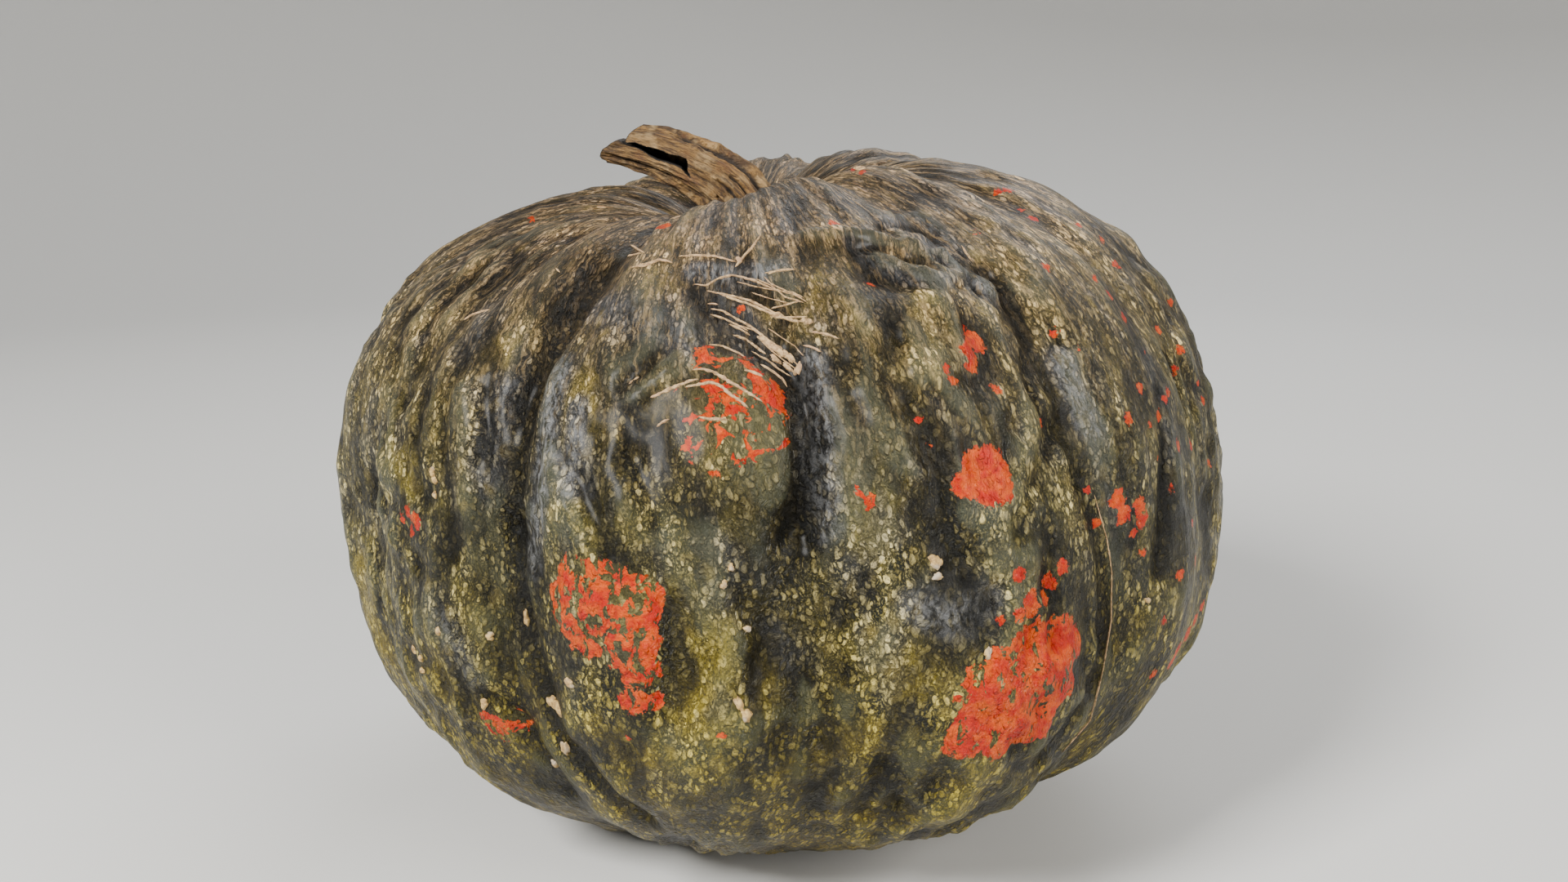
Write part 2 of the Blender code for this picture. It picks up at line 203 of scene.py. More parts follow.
# The shaded marks are painted shade in furrows, hollows and creases.
PAINTED_SHADE = (
    (1.0, 5.0, ((762, 308), (738, 330), (716, 362), (694, 410), (672, 450))),
    (0.8, 3.5, ((640, 470), (628, 520), (618, 560))),
    (1.1, 2.8, ((958, 450), (967, 500), (970, 560), (966, 610), (958, 640))),
    (1.0, 5.0, ((925, 752), (936, 773), (946, 802))),
    (0.9, 3.0, ((1212, 400), (1248, 444), (1264, 486), (1299, 533), (1326, 578))),
    (0.8, 3.0, ((1326, 578), (1342, 640), (1352, 700), (1350, 780), (1330, 850))),
    (0.9, 3.5, ((1044, 300), (1056, 322), (1072, 340), (1104, 342))),
    (0.8, 4.0, ((728, 520), (738, 560), (748, 618))),
    (0.7, 4.0, ((770, 560), (786, 610))),
    (0.8, 4.0, ((816, 745), (826, 790), (818, 850))),
    (0.8, 5.0, ((1240, 500), (1226, 540))),
    (0.8, 7.0, ((1060, 300), (1110, 312), (1170, 330))),
    (1.1, 3.0, ((1078, 318), (1112, 332), (1152, 346))),
    (0.7, 7.0, ((840, 640), (870, 700), (905, 750))),
    (0.8, 6.0, ((1120, 480), (1140, 540), (1156, 610))),
    (0.7, 6.0, ((1210, 650), (1240, 690))),
    (0.8, 6.0, ((640, 330), (676, 318), (706, 322))),
    (0.7, 4.0, ((590, 300), (620, 292), (650, 290))),
    (0.8, 6.0, ((872, 370), (892, 396), (930, 428), (958, 452))),
    (0.8, 5.0, ((650, 600), (655, 680), (648, 740))),
    (0.8, 6.0, ((640, 760), (660, 850), (700, 930))),
    (0.9, 5.0, ((1090, 960), (1100, 1000))),
    (0.7, 6.0, ((930, 750), (900, 720))),
    (0.8, 7.0, ((1210, 780), (1170, 800))),
    (0.7, 4.0, ((1040, 420), (1052, 480))),
)
OLIVE = (
    (1.0, 6.0, ((932, 830), (938, 860))),
    (0.8, 5.0, ((898, 762), (890, 790))),
    (0.9, 7.0, ((1128, 815), (1110, 840))),
    (1.3, 4.5, ((904, 642), (909, 644))),
    (1.0, 8.0, ((1012, 310), (1020, 350), (1010, 390))),
    (0.9, 8.0, ((446, 700), (452, 760), (466, 800))),
    (0.8, 6.0, ((720, 480), (722, 520))),
    (0.8, 6.0, ((815, 470), (812, 500))),
    (0.7, 9.0, ((930, 590), (960, 600))),
    (0.7, 8.0, ((1060, 560), (1090, 600))),
    (0.8, 6.0, ((1062, 640), (1070, 670))),
    (0.7, 5.0, ((600, 420), (620, 440))),
    (0.8, 6.0, ((490, 560), (505, 590))),
    (0.7, 8.0, ((860, 800), (850, 880))),
    (0.8, 4.0, ((800, 330), (812, 344))),
    (0.8, 3.5, ((1104, 344), (1140, 362))),
    (0.8, 7.0, ((1010, 920), (1060, 900))),
    (0.6, 9.0, ((740, 900), (800, 940))),
)

# Orange-red patches as discs: place in the photo and radius, all in pixels.
SOLID_DISCS = (
    (1204, 580, 29), (1186, 591, 17), (1222, 596, 19), (1210, 606, 12),
    (1193, 418, 14), (1190, 436, 11), (1185, 428, 10), (1188, 449, 8), (1160, 452, 6), (1168, 467, 7), (1221, 478, 6),
    (1262, 740, 14), (1278, 732, 9), (1285, 712, 9), (1248, 703, 9), (1303, 695, 8), (1250, 752, 8), (1225, 757, 5),
    (1370, 612, 11), (1376, 630, 10), (1395, 620, 10), (1399, 638, 9), (1388, 650, 6), (1343, 640, 5),
    (500, 627, 8), (508, 638, 9), (504, 650, 6), (493, 634, 6),
    (1472, 742, 8), (1463, 760, 10), (1453, 777, 11), (1443, 795, 11), (1434, 812, 9), (1413, 825, 6),
    (1066, 349, 6), (1020, 272, 7), (812, 277, 8), (1126, 514, 5), (1140, 545, 3), (1281, 326, 6), (1290, 408, 6),
    (1222, 235, 5), (1233, 232, 6), (1251, 257, 5), (1265, 268, 5), (1340, 340, 5), (1359, 362, 5), (1376, 389, 7),
    (1366, 324, 6), (1348, 294, 5), (1321, 276, 4), (1434, 371, 5), (1419, 405, 5), (1445, 429, 5), (1439, 455, 6),
    (1396, 475, 6), (1427, 489, 5), (1419, 508, 6), (1408, 520, 5), (1381, 511, 6), (1443, 546, 8), (1458, 544, 6),
    (1474, 491, 5), (1430, 480, 5), (1467, 469, 4), (1480, 566, 5), (1464, 687, 7), (1445, 704, 6), (1425, 762, 6),
    (1046, 208, 6), (1058, 210, 5), (650, 267, 4), (875, 578, 4), (1400, 675, 5), (1170, 855, 5), (909, 378, 4),
    (1320, 428, 3), (1332, 600, 4), (1274, 518, 5), (1435, 600, 4), (1460, 640, 5), (1418, 560, 3), (1402, 430, 3),
    (884, 900, 4), (770, 905, 3), (1180, 402, 4),
)
STREAKED_DISCS = (
    (1297, 792, 34), (1270, 812, 44), (1243, 845, 48), (1218, 875, 42), (1188, 903, 26), (1300, 835, 30),
    (1262, 880, 38), (1225, 908, 26), (1198, 833, 15), (1313, 780, 18),
)
NETTED_DISCS = (
    (712, 712, 32), (690, 738, 27), (738, 733, 38), (772, 742, 32), (748, 778, 38), (718, 775, 30), (780, 785, 24),
    (798, 742, 14), (782, 820, 22), (768, 856, 14), (785, 858, 14), (803, 856, 11),
)
BROKEN_DISCS = (
    (870, 442, 18), (905, 455, 26), (850, 480, 14), (880, 495, 34), (915, 520, 34), (940, 478, 20), (952, 508, 15),
    (955, 534, 11), (890, 545, 24), (846, 548, 12),
    (605, 888, 15), (635, 878, 15), (622, 898, 15), (1060, 610, 10), (1190, 285, 8),
)
BACK_DOTS = 46
LEAST_WAY = 0.28

# Corky scars: half width in pixels and the line in photo pixels.
CORK_LINES = (
    (0.8, ((1340, 606), (1346, 628), (1355, 660), (1361, 700), (1360, 760), (1350, 820), (1334, 882), (1300, 922))),
    (2.6, ((883, 361), (918, 373), (951, 387), (972, 393), (990, 394))),
    (1.2, ((902, 345), (920, 350), (945, 355), (970, 358), (985, 365))),
    (1.2, ((935, 335), (955, 332), (975, 330))),
    (1.3, ((935, 338), (945, 348), (960, 355), (975, 362), (988, 370))),
    (1.1, ((920, 358), (940, 365), (960, 370), (972, 372))),
    (1.1, ((902, 398), (925, 405), (945, 420), (965, 435), (980, 450))),
    (1.1, ((930, 415), (945, 430), (965, 445), (980, 455))),
    (1.0, ((935, 437), (950, 450), (970, 462))),
    (1.0, ((920, 430), (945, 445), (960, 457))),
    (1.0, ((940, 402), (958, 414), (974, 424), (984, 436))),
    (0.9, ((768, 314), (778, 312), (786, 310))),
    (0.9, ((772, 328), (790, 326), (806, 320))),
    (2.0, ((865, 356), (893, 362), (920, 369), (940, 379), (959, 389), (989, 388))),
    (2.0, ((849, 348), (865, 350), (880, 341), (897, 337), (922, 343), (948, 354), (968, 360))),
    (2.0, ((870, 378), (886, 381), (899, 389), (918, 399), (935, 412), (952, 424))),
    (1.5, ((870, 385), (888, 391), (904, 399), (916, 405))),
    (1.5, ((892, 397), (906, 403), (919, 411))),
    (2.0, ((897, 410), (914, 416), (926, 425), (938, 434))),
    (1.3, ((867, 422), (885, 424), (898, 430), (912, 437))),
    (2.4, ((911, 453), (922, 456), (934, 461))),
    (1.6, ((931, 446), (944, 454), (958, 464), (964, 474))),
    (2.0, ((994, 406), (1010, 409), (1028, 415))),
    (2.0, ((983, 423), (994, 425), (1006, 431))),
    (2.6, ((847, 453), (860, 452), (872, 455), (886, 463), (901, 472), (918, 482), (934, 492))),
    (2.6, ((796, 487), (812, 480), (828, 473), (844, 467), (856, 464))),
    (2.6, ((838, 474), (856, 471), (872, 468), (884, 474), (894, 483), (906, 491), (917, 500))),
    (2.2, ((855, 510), (866, 513), (878, 513), (892, 514))),
    (2.0, ((804, 523), (811, 517), (820, 513))),
    (2.8, ((932, 287), (922, 302), (912, 313), (900, 327))),
    (1.8, ((831, 314), (851, 313), (875, 314), (902, 321))),
    (2.0, ((778, 326), (795, 323), (808, 318), (824, 322))),
    (1.6, ((940, 336), (955, 331), (972, 330))),
    (2.0, ((680, 328), (686, 334))),
    (1.8, ((568, 392), (580, 385), (600, 379))),
    (1.6, ((1016, 276), (1030, 282))),
    (1.4, ((925, 341), (945, 350), (962, 364), (985, 371))),
    (1.4, ((866, 372), (880, 373))),
    (1.6, ((770, 470), (778, 465), (784, 461))),
    (1.5, ((1177, 300), (1183, 310), (1190, 320))),
    (1.8, ((944, 378), (960, 374), (978, 369))),
    (1.6, ((772, 300), (785, 308), (790, 310))),
)
# Broad cork flakes and tan flecks: place, half width and half height in pixels, turn in degrees.
CORK_FLAKES = (
    (938, 418, 12, 4, 40), (952, 428, 12, 5, 35), (967, 437, 9, 5, 40), (977, 452, 5, 8, 15), (950, 440, 8, 3, 35),
    (965, 450, 8, 3, 40), (905, 318, 5, 4, 50), (953, 386, 7, 4, 10), (988, 393, 7, 4, 5), (1052, 206, 12, 4, 5),
)
TAN_FLECKS = (
    (530, 578, 6, 5, 80), (533, 588, 6, 4, 30), (684, 866, 15, 7, 25), (677, 860, 9, 7, 0), (697, 836, 7, 6, 0),
    (1146, 688, 8, 8, 0), (1148, 706, 7, 4, 10), (600, 779, 6, 5, 0), (537, 773, 5, 4, 60), (508, 795, 6, 4, 50),
    (516, 806, 5, 4, 20), (518, 821, 5, 4, 0), (593, 862, 5, 8, 30), (692, 916, 5, 10, -10), (680, 935, 4, 7, 0),
    (645, 757, 4, 9, -15), (895, 695, 4, 4, 0), (886, 716, 4, 5, 0), (905, 862, 4, 10, -20), (914, 876, 6, 8, -20),
    (1405, 735, 4, 4, 0), (533, 606, 4, 4, 0), (915, 770, 5, 4, 0), (1210, 800, 4, 8, 20),
)


def ease(share):
    """Smooth step of a share that is clipped to 0..1."""
    share = np.clip(share, 0.0, 1.0)
    return share * share * (3.0 - 2.0 * share)


def meridian():
    """Ways, the length of the way, and at each way: radius, height, outward normal, and how far
    the crown's and the scar's shifts apply."""
    angle = np.linspace(0.0, np.pi, MERIDIAN_STEPS)
    sine, cosine = np.sin(angle), np.cos(angle)
    top = cosine > 0.0
    power = 2.0 / np.where(top, CROWN_FULLNESS, BASE_FULLNESS)
    radius = CREST_RADIUS * np.abs(sine) ** power
    height = np.where(top, CROWN_RISE, UNDERSIDE_DROP) * np.sign(cosine) * np.abs(cosine) ** power
    height -= top * PIT_DEPTH * np.exp(-((radius / PIT_RADIUS) ** 2))
    height += ~top * SCAR_DEPTH * np.exp(-((radius / SCAR_RADIUS) ** 2))
    length = np.concatenate([[0.0], np.cumsum(np.hypot(np.diff(radius), np.diff(height)))])
    even = np.linspace(0.0, length[-1], MERIDIAN_STEPS)
    radius, height = np.interp(even, length, radius), np.interp(even, length, height)
    out_r, out_h = -np.gradient(height), np.gradient(radius)
    norm = np.hypot(out_r, out_h)
    step = np.arange(MERIDIAN_STEPS)
    upper = np.where(step < height.argmax(), 1.0, np.clip(height / height.max(), 0.0, 1.0) ** 2)
    lower = np.where(step > height.argmin(), 1.0, np.clip(height / height.min(), 0.0, 1.0) ** 2)
    return even / length[-1], length[-1], (radius, height, out_r / norm, out_h / norm, upper, lower)


def between_stations(values, way):
    """A value given at the three stations, eased between them."""
    first = ease((way - STATIONS[0]) / (STATIONS[1] - STATIONS[0]))
    second = ease((way - STATIONS[1]) / (STATIONS[2] - STATIONS[1]))
    return values[0] + (values[1] - values[0]) * first + (values[2] - values[1]) * second


def rib_push(longitude, way):
    """How far furrows and lobes move the skin outward, and how near a furrow's floor it is."""
    places = np.stack([np.radians(between_stations(f[0], way)) for f in FURROWS])
    depths = np.stack([between_stations(f[1], way) for f in FURROWS]) * MM
    rises = np.stack([between_stations(f[2], way) for f in FURROWS]) * MM
    past = (longitude[None] - places) % (2.0 * np.pi)
    ahead = 2.0 * np.pi - past
    before, after = past.argmin(0)[None], ahead.argmin(0)[None]
    back = np.take_along_axis(past, before, 0)[0]
    front = np.take_along_axis(ahead, after, 0)[0]
    side = 2.0 * back / (back + front) - 1.0
    rim = 1.0 - np.abs(side)
    rounded_crest = np.sqrt(1.0 + FURROW_ROUND**2) - FURROW_ROUND
    rim = (np.sqrt(rim**2 + FURROW_ROUND**2) - FURROW_ROUND) / rounded_crest
    pressed = (1.0 - rim) ** CREST_POWER
    nearest = np.where(side < 0.0, before[0], after[0])[None]
    depth = np.take_along_axis(depths, nearest, 0)[0]
    push = np.take_along_axis(rises, before, 0)[0] * (1.0 - pressed) - depth * pressed
    return push, pressed * depth / depths.max()


def swell_push(longitude, way, radius, length):
    """How far the swells and hollows move the skin outward."""
    push = np.zeros_like(radius)
    for place, at, across, along, slant, rise in SWELLS:
        right = ((longitude - np.radians(place) + np.pi) % (2.0 * np.pi) - np.pi) * radius / MM
        down = (way - at) * length / MM
        cosine, sine = np.cos(np.radians(slant)), np.sin(np.radians(slant))
        u, v = right * cosine + down * sine, down * cosine - right * sine
        push += rise * MM * np.exp(-((u / across) ** 2) - (v / along) ** 2)
    return push


def skin(longitude, way):
    """Points of the fruit's skin and their nearness to a furrow's floor."""
    ways, length, rows = meridian()
    radius, height, out_r, out_h, upper, lower = (np.interp(way, ways, row) for row in rows)
    ribs, floor = rib_push(longitude, way)
    push = ribs * (1.0 - np.exp(-((radius / FURROW_FADE) ** 2)))
    push += swell_push(longitude, way, radius, length)
    spread, z = radius + out_r * push, height + out_h * push
    x, y = spread * np.sin(longitude), -spread * np.cos(longitude)
    z = z + upper * (CROWN_TILT[0] * x + CROWN_TILT[1] * y)
    seat = ease((SEAT_BLEND - spread) / (SEAT_BLEND - SEAT_RADIUS)) * (height > 0.0)
    z = z * (1.0 - seat) + SEAT_HEIGHT * seat
    x = x + PIT_SHIFT[0] * upper + SCAR_SHIFT[0] * lower - CENTRE[0]
    y = y + PIT_SHIFT[1] * upper + SCAR_SHIFT[1] * lower - CENTRE[1]
    return np.stack([x, y, z + REST_DROP], axis=-1), floor


def grid_normals(points):
    """Outward unit normals of a closed grid of points."""
    around = np.roll(points, -1, axis=1) - np.roll(points, 1, axis=1)
    along = np.gradient(points, axis=0)
    normals = np.cross(along, around)
    return normals / np.maximum(np.linalg.norm(normals, axis=-1, keepdims=True), 1e-12)


def noise_at(points, size):
    """Smooth noise, about -0.7 to 0.7, whose grain has the given size along each axis."""
    scaled = (points / np.asarray(size)).reshape(-1, 3)
    values = [noise.noise(Vector(p)) for p in scaled.tolist()]
    return np.array(values).reshape(points.shape[:-1])


def grain_coordinates(longitude, way):
    """Coordinates in mm that run round and down the skin with no seam, drawn out at the crown."""
    _, length, _ = meridian()
    turn = CREST_RADIUS / MM
    steps = np.linspace(0.0, 1.0, MERIDIAN_STEPS)
    pace = GRAIN_AT_CROWN + (1.0 - GRAIN_AT_CROWN) * ease((steps - 0.08) / 0.30)
    down = np.interp(way, steps, np.cumsum(pace) * length / MM / MERIDIAN_STEPS)
    return np.stack([turn * np.sin(longitude), -turn * np.cos(longitude), -down], axis=-1)


def fine_relief(grain, way):
    """Lumps, dents and lengthwise wrinkles of the skin, in mm."""
    broad = 1.3 * noise_at(grain, (26.0, 26.0, 34.0)) + 1.2 * noise_at(grain + 90.0, (12.0, 12.0, 18.0))
    crumpled = 0.35 + ease(0.5 + 1.8 * noise_at(grain + 300.0, (42.0, 42.0, 50.0)))
    lumps = 1.35 * noise_at(grain + 700.0, (6.5, 6.5, 10.0)) + 0.75 * noise_at(grain + 760.0, (3.8, 3.8, 6.5))
    folds = 0.22 - np.abs(noise_at(grain + 500.0, (8.0, 8.0, 26.0)))
    ribs = 0.9 * noise_at(grain + 900.0, (7.0, 7.0, 70.0)) * ease((0.36 - way) / 0.2)
    calm = ease((way - 0.04) / 0.16)
    broad *= 1.0 - 0.4 * ease((0.36 - way) / 0.2)
    return (broad + crumpled * (lumps + 1.5 * folds) + ribs) * calm


def eye_frame():
    """The photo lens: its place, and the directions ahead, right and up."""
    cosine, sine = math.cos(EYE_ELEVATION), math.sin(EYE_ELEVATION)
    ahead, up = Vector((0.0, cosine, -sine)), Vector((0.0, sine, cosine))
    middle = Vector((-CENTRE[0], -CENTRE[1], REST_DROP))
    return middle - ahead * EYE_DISTANCE, ahead, Vector((1.0, 0.0, 0.0)), up


def photo_hit(tree, px, py):
    """Where the line of sight through a photo pixel meets the fruit, and the normal there."""
    eye, ahead, right, up = eye_frame()
    across = float(px - PHOTO_AHEAD[0]) / PHOTO_FOCAL
    down = float(py - PHOTO_AHEAD[1]) / PHOTO_FOCAL
    place, normal, _, _ = tree.ray_cast(eye, (ahead + across * right - down * up).normalized())
    return place, normal


def photo_line(tree, line, step):
    """Points and normals on the skin along a line of photo pixels, evenly spaced."""
    line = np.array(line, float)
    along = np.concatenate([[0.0], np.cumsum(np.hypot(*np.diff(line, axis=0).T))])
    count = max(3, int(along[-1] / step) + 1)
    even = np.linspace(0.0, along[-1], count)
    hits = [photo_hit(tree, np.interp(s, along, line[:, 0]), np.interp(s, along, line[:, 1])) for s in even]
    return [hit for hit in hits if hit[0] is not None]


def grid_tree(points):
    """A search tree of a closed grid's surface."""
    count, around, _ = points.shape
    quads = []
    for k in range(count - 1):
        for i in range(around):
            j = (i + 1) % around
            quads.append((k * around + i, (k + 1) * around + i, (k + 1) * around + j, k * around + j))
    return BVHTree.FromPolygons(points.reshape(-1, 3).tolist(), quads), quads


def line_gap(points, tree, line):
    """How far each point is from a line given in photo pixels, in mm."""
    hits = photo_line(tree, line, 6.0)
    nearest = np.full(points.shape[:-1], np.inf)
    for (start, _), (end, _) in zip(hits, hits[1:]):
        start, end = np.array(start), np.array(end)
        span = end - start
        share = np.clip(((points - start) @ span) / max(span @ span, 1e-12), 0.0, 1.0)
        nearest = np.minimum(nearest, np.linalg.norm(points - start - share[..., None] * span, axis=-1))
    return nearest / MM


def fold_push(points, tree):
    """How far the listed folds and creases move the skin outward, in mm."""
    push = np.zeros(points.shape[:-1])
    for rise, width, line in FOLDS:
        push += rise * np.exp(-((line_gap(points, tree, line) / width) ** 2))
    return push


def tone_share(points, tree, marks):
    """Strength of a tone at each point, from 0 to 1."""
    share = np.zeros(points.shape[:-1])
    for strength, reach, line in marks:
        share = np.maximum(share, strength * np.exp(-((line_gap(points, tree, line) / reach) ** 2)))
    return share


def blurred(values, reach):
    """Values of a closed grid, averaged over a reach of rings and columns."""
    for _ in range(2):
        values = sum(np.roll(values, s, axis=1) for s in range(-reach, reach + 1)) / (2 * reach + 1)
        padded = np.pad(values, ((reach, reach), (0, 0)), mode="edge")
        values = sum(padded[s : s + len(values)] for s in range(2 * reach + 1)) / (2 * reach + 1)
    return values


def add_mesh(name, vertices, faces, materials):
    """A smooth-shaded piece of the object that rides on its one body."""
    mesh = bpy.data.meshes.new(name)
    mesh.from_pydata(vertices, [], faces)
    for mat in materials:
        mesh.materials.append(mat)
    mesh.shade_smooth()
    obj = bpy.data.objects.new(name, mesh)
    bpy.context.scene.collection.objects.link(obj)
    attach(obj, "root")
    return obj


def with_ends(grid):
    """A grid's values in the order of the fruit's vertices, those of the two middle points last."""
    rows = grid.reshape(ALONG * AROUND, -1)
    return np.concatenate([rows, rows[:1], rows[-1:]])


def add_attribute(obj, name, kind, values):
    """A named value for each vertex."""
    layer = obj.data.attributes.new(name, kind, "POINT")
    field = "vector" if kind == "FLOAT_VECTOR" else "value"
    layer.data.foreach_set(field, np.asarray(values, np.float32).ravel())


def build_fruit():
    """The fruit's fine skin, and a search tree of it."""
    ways, _, rows = meridian()
    top = ways < 0.5
    first = np.interp(SEAT_RADIUS, rows[0][top], ways[top])
    longitudes = np.linspace(0.0, 2.0 * np.pi, AROUND, endpoint=False)
    longitude, way = np.meshgrid(longitudes, np.linspace(first, LAST_RING, ALONG))
    points, floor = skin(longitude, way)
    grain = grain_coordinates(longitude, way)
    tree, quads = grid_tree(points)
    relief = fine_relief(grain, way) + fold_push(points, tree)
    points = points + grid_normals(points) * (relief * MM)[..., None]
    points[..., 2] = np.maximum(points[..., 2], 0.0)
    seat, scar = points[0].mean(axis=0), points[-1].mean(axis=0)
    points[0, :, 2] = seat[2]
    tree, _ = grid_tree(points)
    start, end = points.shape[0] * AROUND, points.shape[0] * AROUND + 1
    last = (ALONG - 1) * AROUND
    faces = list(quads)
    faces += [(start, i, (i + 1) % AROUND) for i in range(AROUND)]
    faces += [(end, last + (i + 1) % AROUND, last + i) for i in range(AROUND)]
    vertices = points.reshape(-1, 3).tolist() + [seat.tolist(), scar.tolist()]
    patches = {
        "solid": disc_places(tree, SOLID_DISCS) + back_dots(tree),
        "streaked": disc_places(tree, STREAKED_DISCS),
        "netted": disc_places(tree, NETTED_DISCS),
        "broken": disc_places(tree, BROKEN_DISCS),
    }
    fruit = add_mesh("pumpkin_skin", vertices, faces, [rind_material(patches)])
    height = relief - blurred(relief, 6)
    broad = relief - blurred(relief, 16)
    add_attribute(fruit, "grain", "FLOAT_VECTOR", with_ends(grain))
    # The cavity value drives painted shade in dents and a painted highlight on ridges.
    add_attribute(fruit, "cavity", "FLOAT", with_ends(0.6 * height + 0.4 * broad))
    add_attribute(fruit, "furrow", "FLOAT", with_ends(floor))
    add_attribute(fruit, "way", "FLOAT", with_ends(way))
    # Shares of the bluish marks (painted sheen), the shaded marks (painted shade) and the olive marks (the rind's own
    # colour).
    for name, marks in (("bluish_sheen", BLUISH_SHEEN), ("painted_shade", PAINTED_SHADE), ("olive", OLIVE)):
        add_attribute(fruit, name, "FLOAT", with_ends(tone_share(points, tree, marks)))
    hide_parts("fruit")
    return tree


def disc_places(tree, discs):
    """Centres on the skin and radii in metres of discs listed in photo pixels."""
    places = []
    for px, py, radius in discs:
        place, _ = photo_hit(tree, px, py)
        if place is not None:
            places.append((place, radius * PIXEL))
    return places


def back_dots(tree):
    """Scattered small orange dots on the sides that the photo doesn't show."""
    chance = random.Random(11)
    places = []
    for _ in range(BACK_DOTS):
        longitude, way = math.radians(chance.uniform(85.0, 275.0)), chance.betavariate(2.2, 2.6)
        radius = chance.choice((1.0, 1.2, 1.5, 2.0, 3.6)) * MM
        points, _ = skin(np.array([longitude]), np.array([way]))
        place, *_ = tree.find_nearest(Vector(points[0]))
        if way > LEAST_WAY:
            places.append((place, radius))
    return places


class Graph:
    """Short calls that add shader nodes to one material."""

    def __init__(self, name):
        self.material = bpy.data.materials.new(name)
        self.material.use_nodes = True
        self.tree = self.material.node_tree
        self.shader = self.tree.nodes["Principled BSDF"]

    def put(self, value, socket):
        """Link a socket, or set a number or colour on the socket itself."""
        if isinstance(value, bpy.types.NodeSocket):
            self.tree.links.new(value, socket)
        else:
            socket.default_value = value

    def node(self, kind, **settings):
        node = self.tree.nodes.new(kind)
        for key, value in settings.items():
            setattr(node, key, value)
        return node

    def math(self, operation, a, b=0.0, c=0.0, clamp=False):
        node = self.node("ShaderNodeMath", operation=operation, use_clamp=clamp)
        for socket, value in zip(node.inputs, (a, b, c)):
            self.put(value, socket)
        return node.outputs[0]

    def vector(self, operation, a, b):
        node = self.node("ShaderNodeVectorMath", operation=operation)
        self.put(a, node.inputs[0])
        self.put(b, node.inputs[1])
        return node.outputs["Value"] if operation in ("DISTANCE", "LENGTH") else node.outputs["Vector"]

    def attribute(self, name, output="Fac"):
        return self.node("ShaderNodeAttribute", attribute_name=name).outputs[output]

    def noise(self, place, scale, detail=2.0, roughness=0.5, distortion=0.0):
        node = self.node("ShaderNodeTexNoise")
        self.put(place, node.inputs["Vector"])
        for name, value in (("Scale", scale), ("Detail", detail), ("Roughness", roughness), ("Distortion", distortion)):
            node.inputs[name].default_value = value
        return node.outputs["Fac"]

    def noise_colour(self, place, scale, detail):
        """Three unlike noises as one colour."""
        node = self.node("ShaderNodeTexNoise")
        self.put(place, node.inputs["Vector"])
        node.inputs["Scale"].default_value = scale
        node.inputs["Detail"].default_value = detail
        return node.outputs["Color"]

    def cells(self, place, scale):
        """Distance to a cell's middle, and the cell's own random colour."""
        node = self.node("ShaderNodeTexVoronoi")
        self.put(place, node.inputs["Vector"])
        node.inputs["Scale"].default_value = scale
        return node.outputs["Distance"], node.outputs["Color"]

    def between(self, value, low, high, bottom=0.0, top=1.0):
        """A value's smooth share between two limits, as a number from bottom to top."""
        node = self.node("ShaderNodeMapRange", interpolation_type="SMOOTHSTEP")
        for socket, given in zip(node.inputs, (value, low, high, bottom, top)):
            self.put(given, socket)
        return node.outputs["Result"]

    def mix(self, share, a, b, blend="MIX"):
        node = self.node("ShaderNodeMix", data_type="RGBA", blend_type=blend, clamp_factor=True)
        self.put(share, node.inputs["Factor"])
        for value, socket in ((a, node.inputs[6]), (b, node.inputs[7])):
            self.put((*value, 1.0) if isinstance(value, tuple) else value, socket)
        return node.outputs[2]

    def ragged(self, share, texture):
        """A soft patch whose edge follows the mottling."""
        edge = self.math("MULTIPLY_ADD", self.math("SUBTRACT", texture, 0.5), 1.4, share)
        return self.between(edge, 0.15, 0.85)

    def grey(self, value):
        """A number as a colour."""
        node = self.node("ShaderNodeCombineColor")
        for socket in node.inputs:
            self.put(value, socket)
        return node.outputs[0]

    def bump(self, height, distance, strength=1.0, below=None):
        node = self.node("ShaderNodeBump")
        self.put(height, node.inputs["Height"])
        node.inputs["Distance"].default_value = distance
        node.inputs["Strength"].default_value = strength
        if below is not None:
            self.put(below, node.inputs["Normal"])
        return node.outputs["Normal"]

    def finish(self, colour, roughness, normal=None):
        self.put(colour, self.shader.inputs["Base Color"])
        self.put(roughness, self.shader.inputs["Roughness"])
        if normal is not None:
            self.put(normal, self.shader.inputs["Normal"])
        return self.material


def channel(graph, colour, index):
    """One channel of a colour."""
    node = graph.node("ShaderNodeSeparateColor")
    graph.put(colour, node.inputs[0])
    return node.outputs[index]


def disc_field(graph, place, discs):
    """Distance inside the nearest disc's rim, in metres; below zero outside."""
    field = None
    for centre, radius in discs:
        gap = graph.vector("DISTANCE", place, tuple(centre))
        inside = graph.math("SUBTRACT", radius, gap)
        field = inside if field is None else graph.math("MAXIMUM", field, inside)
    return field


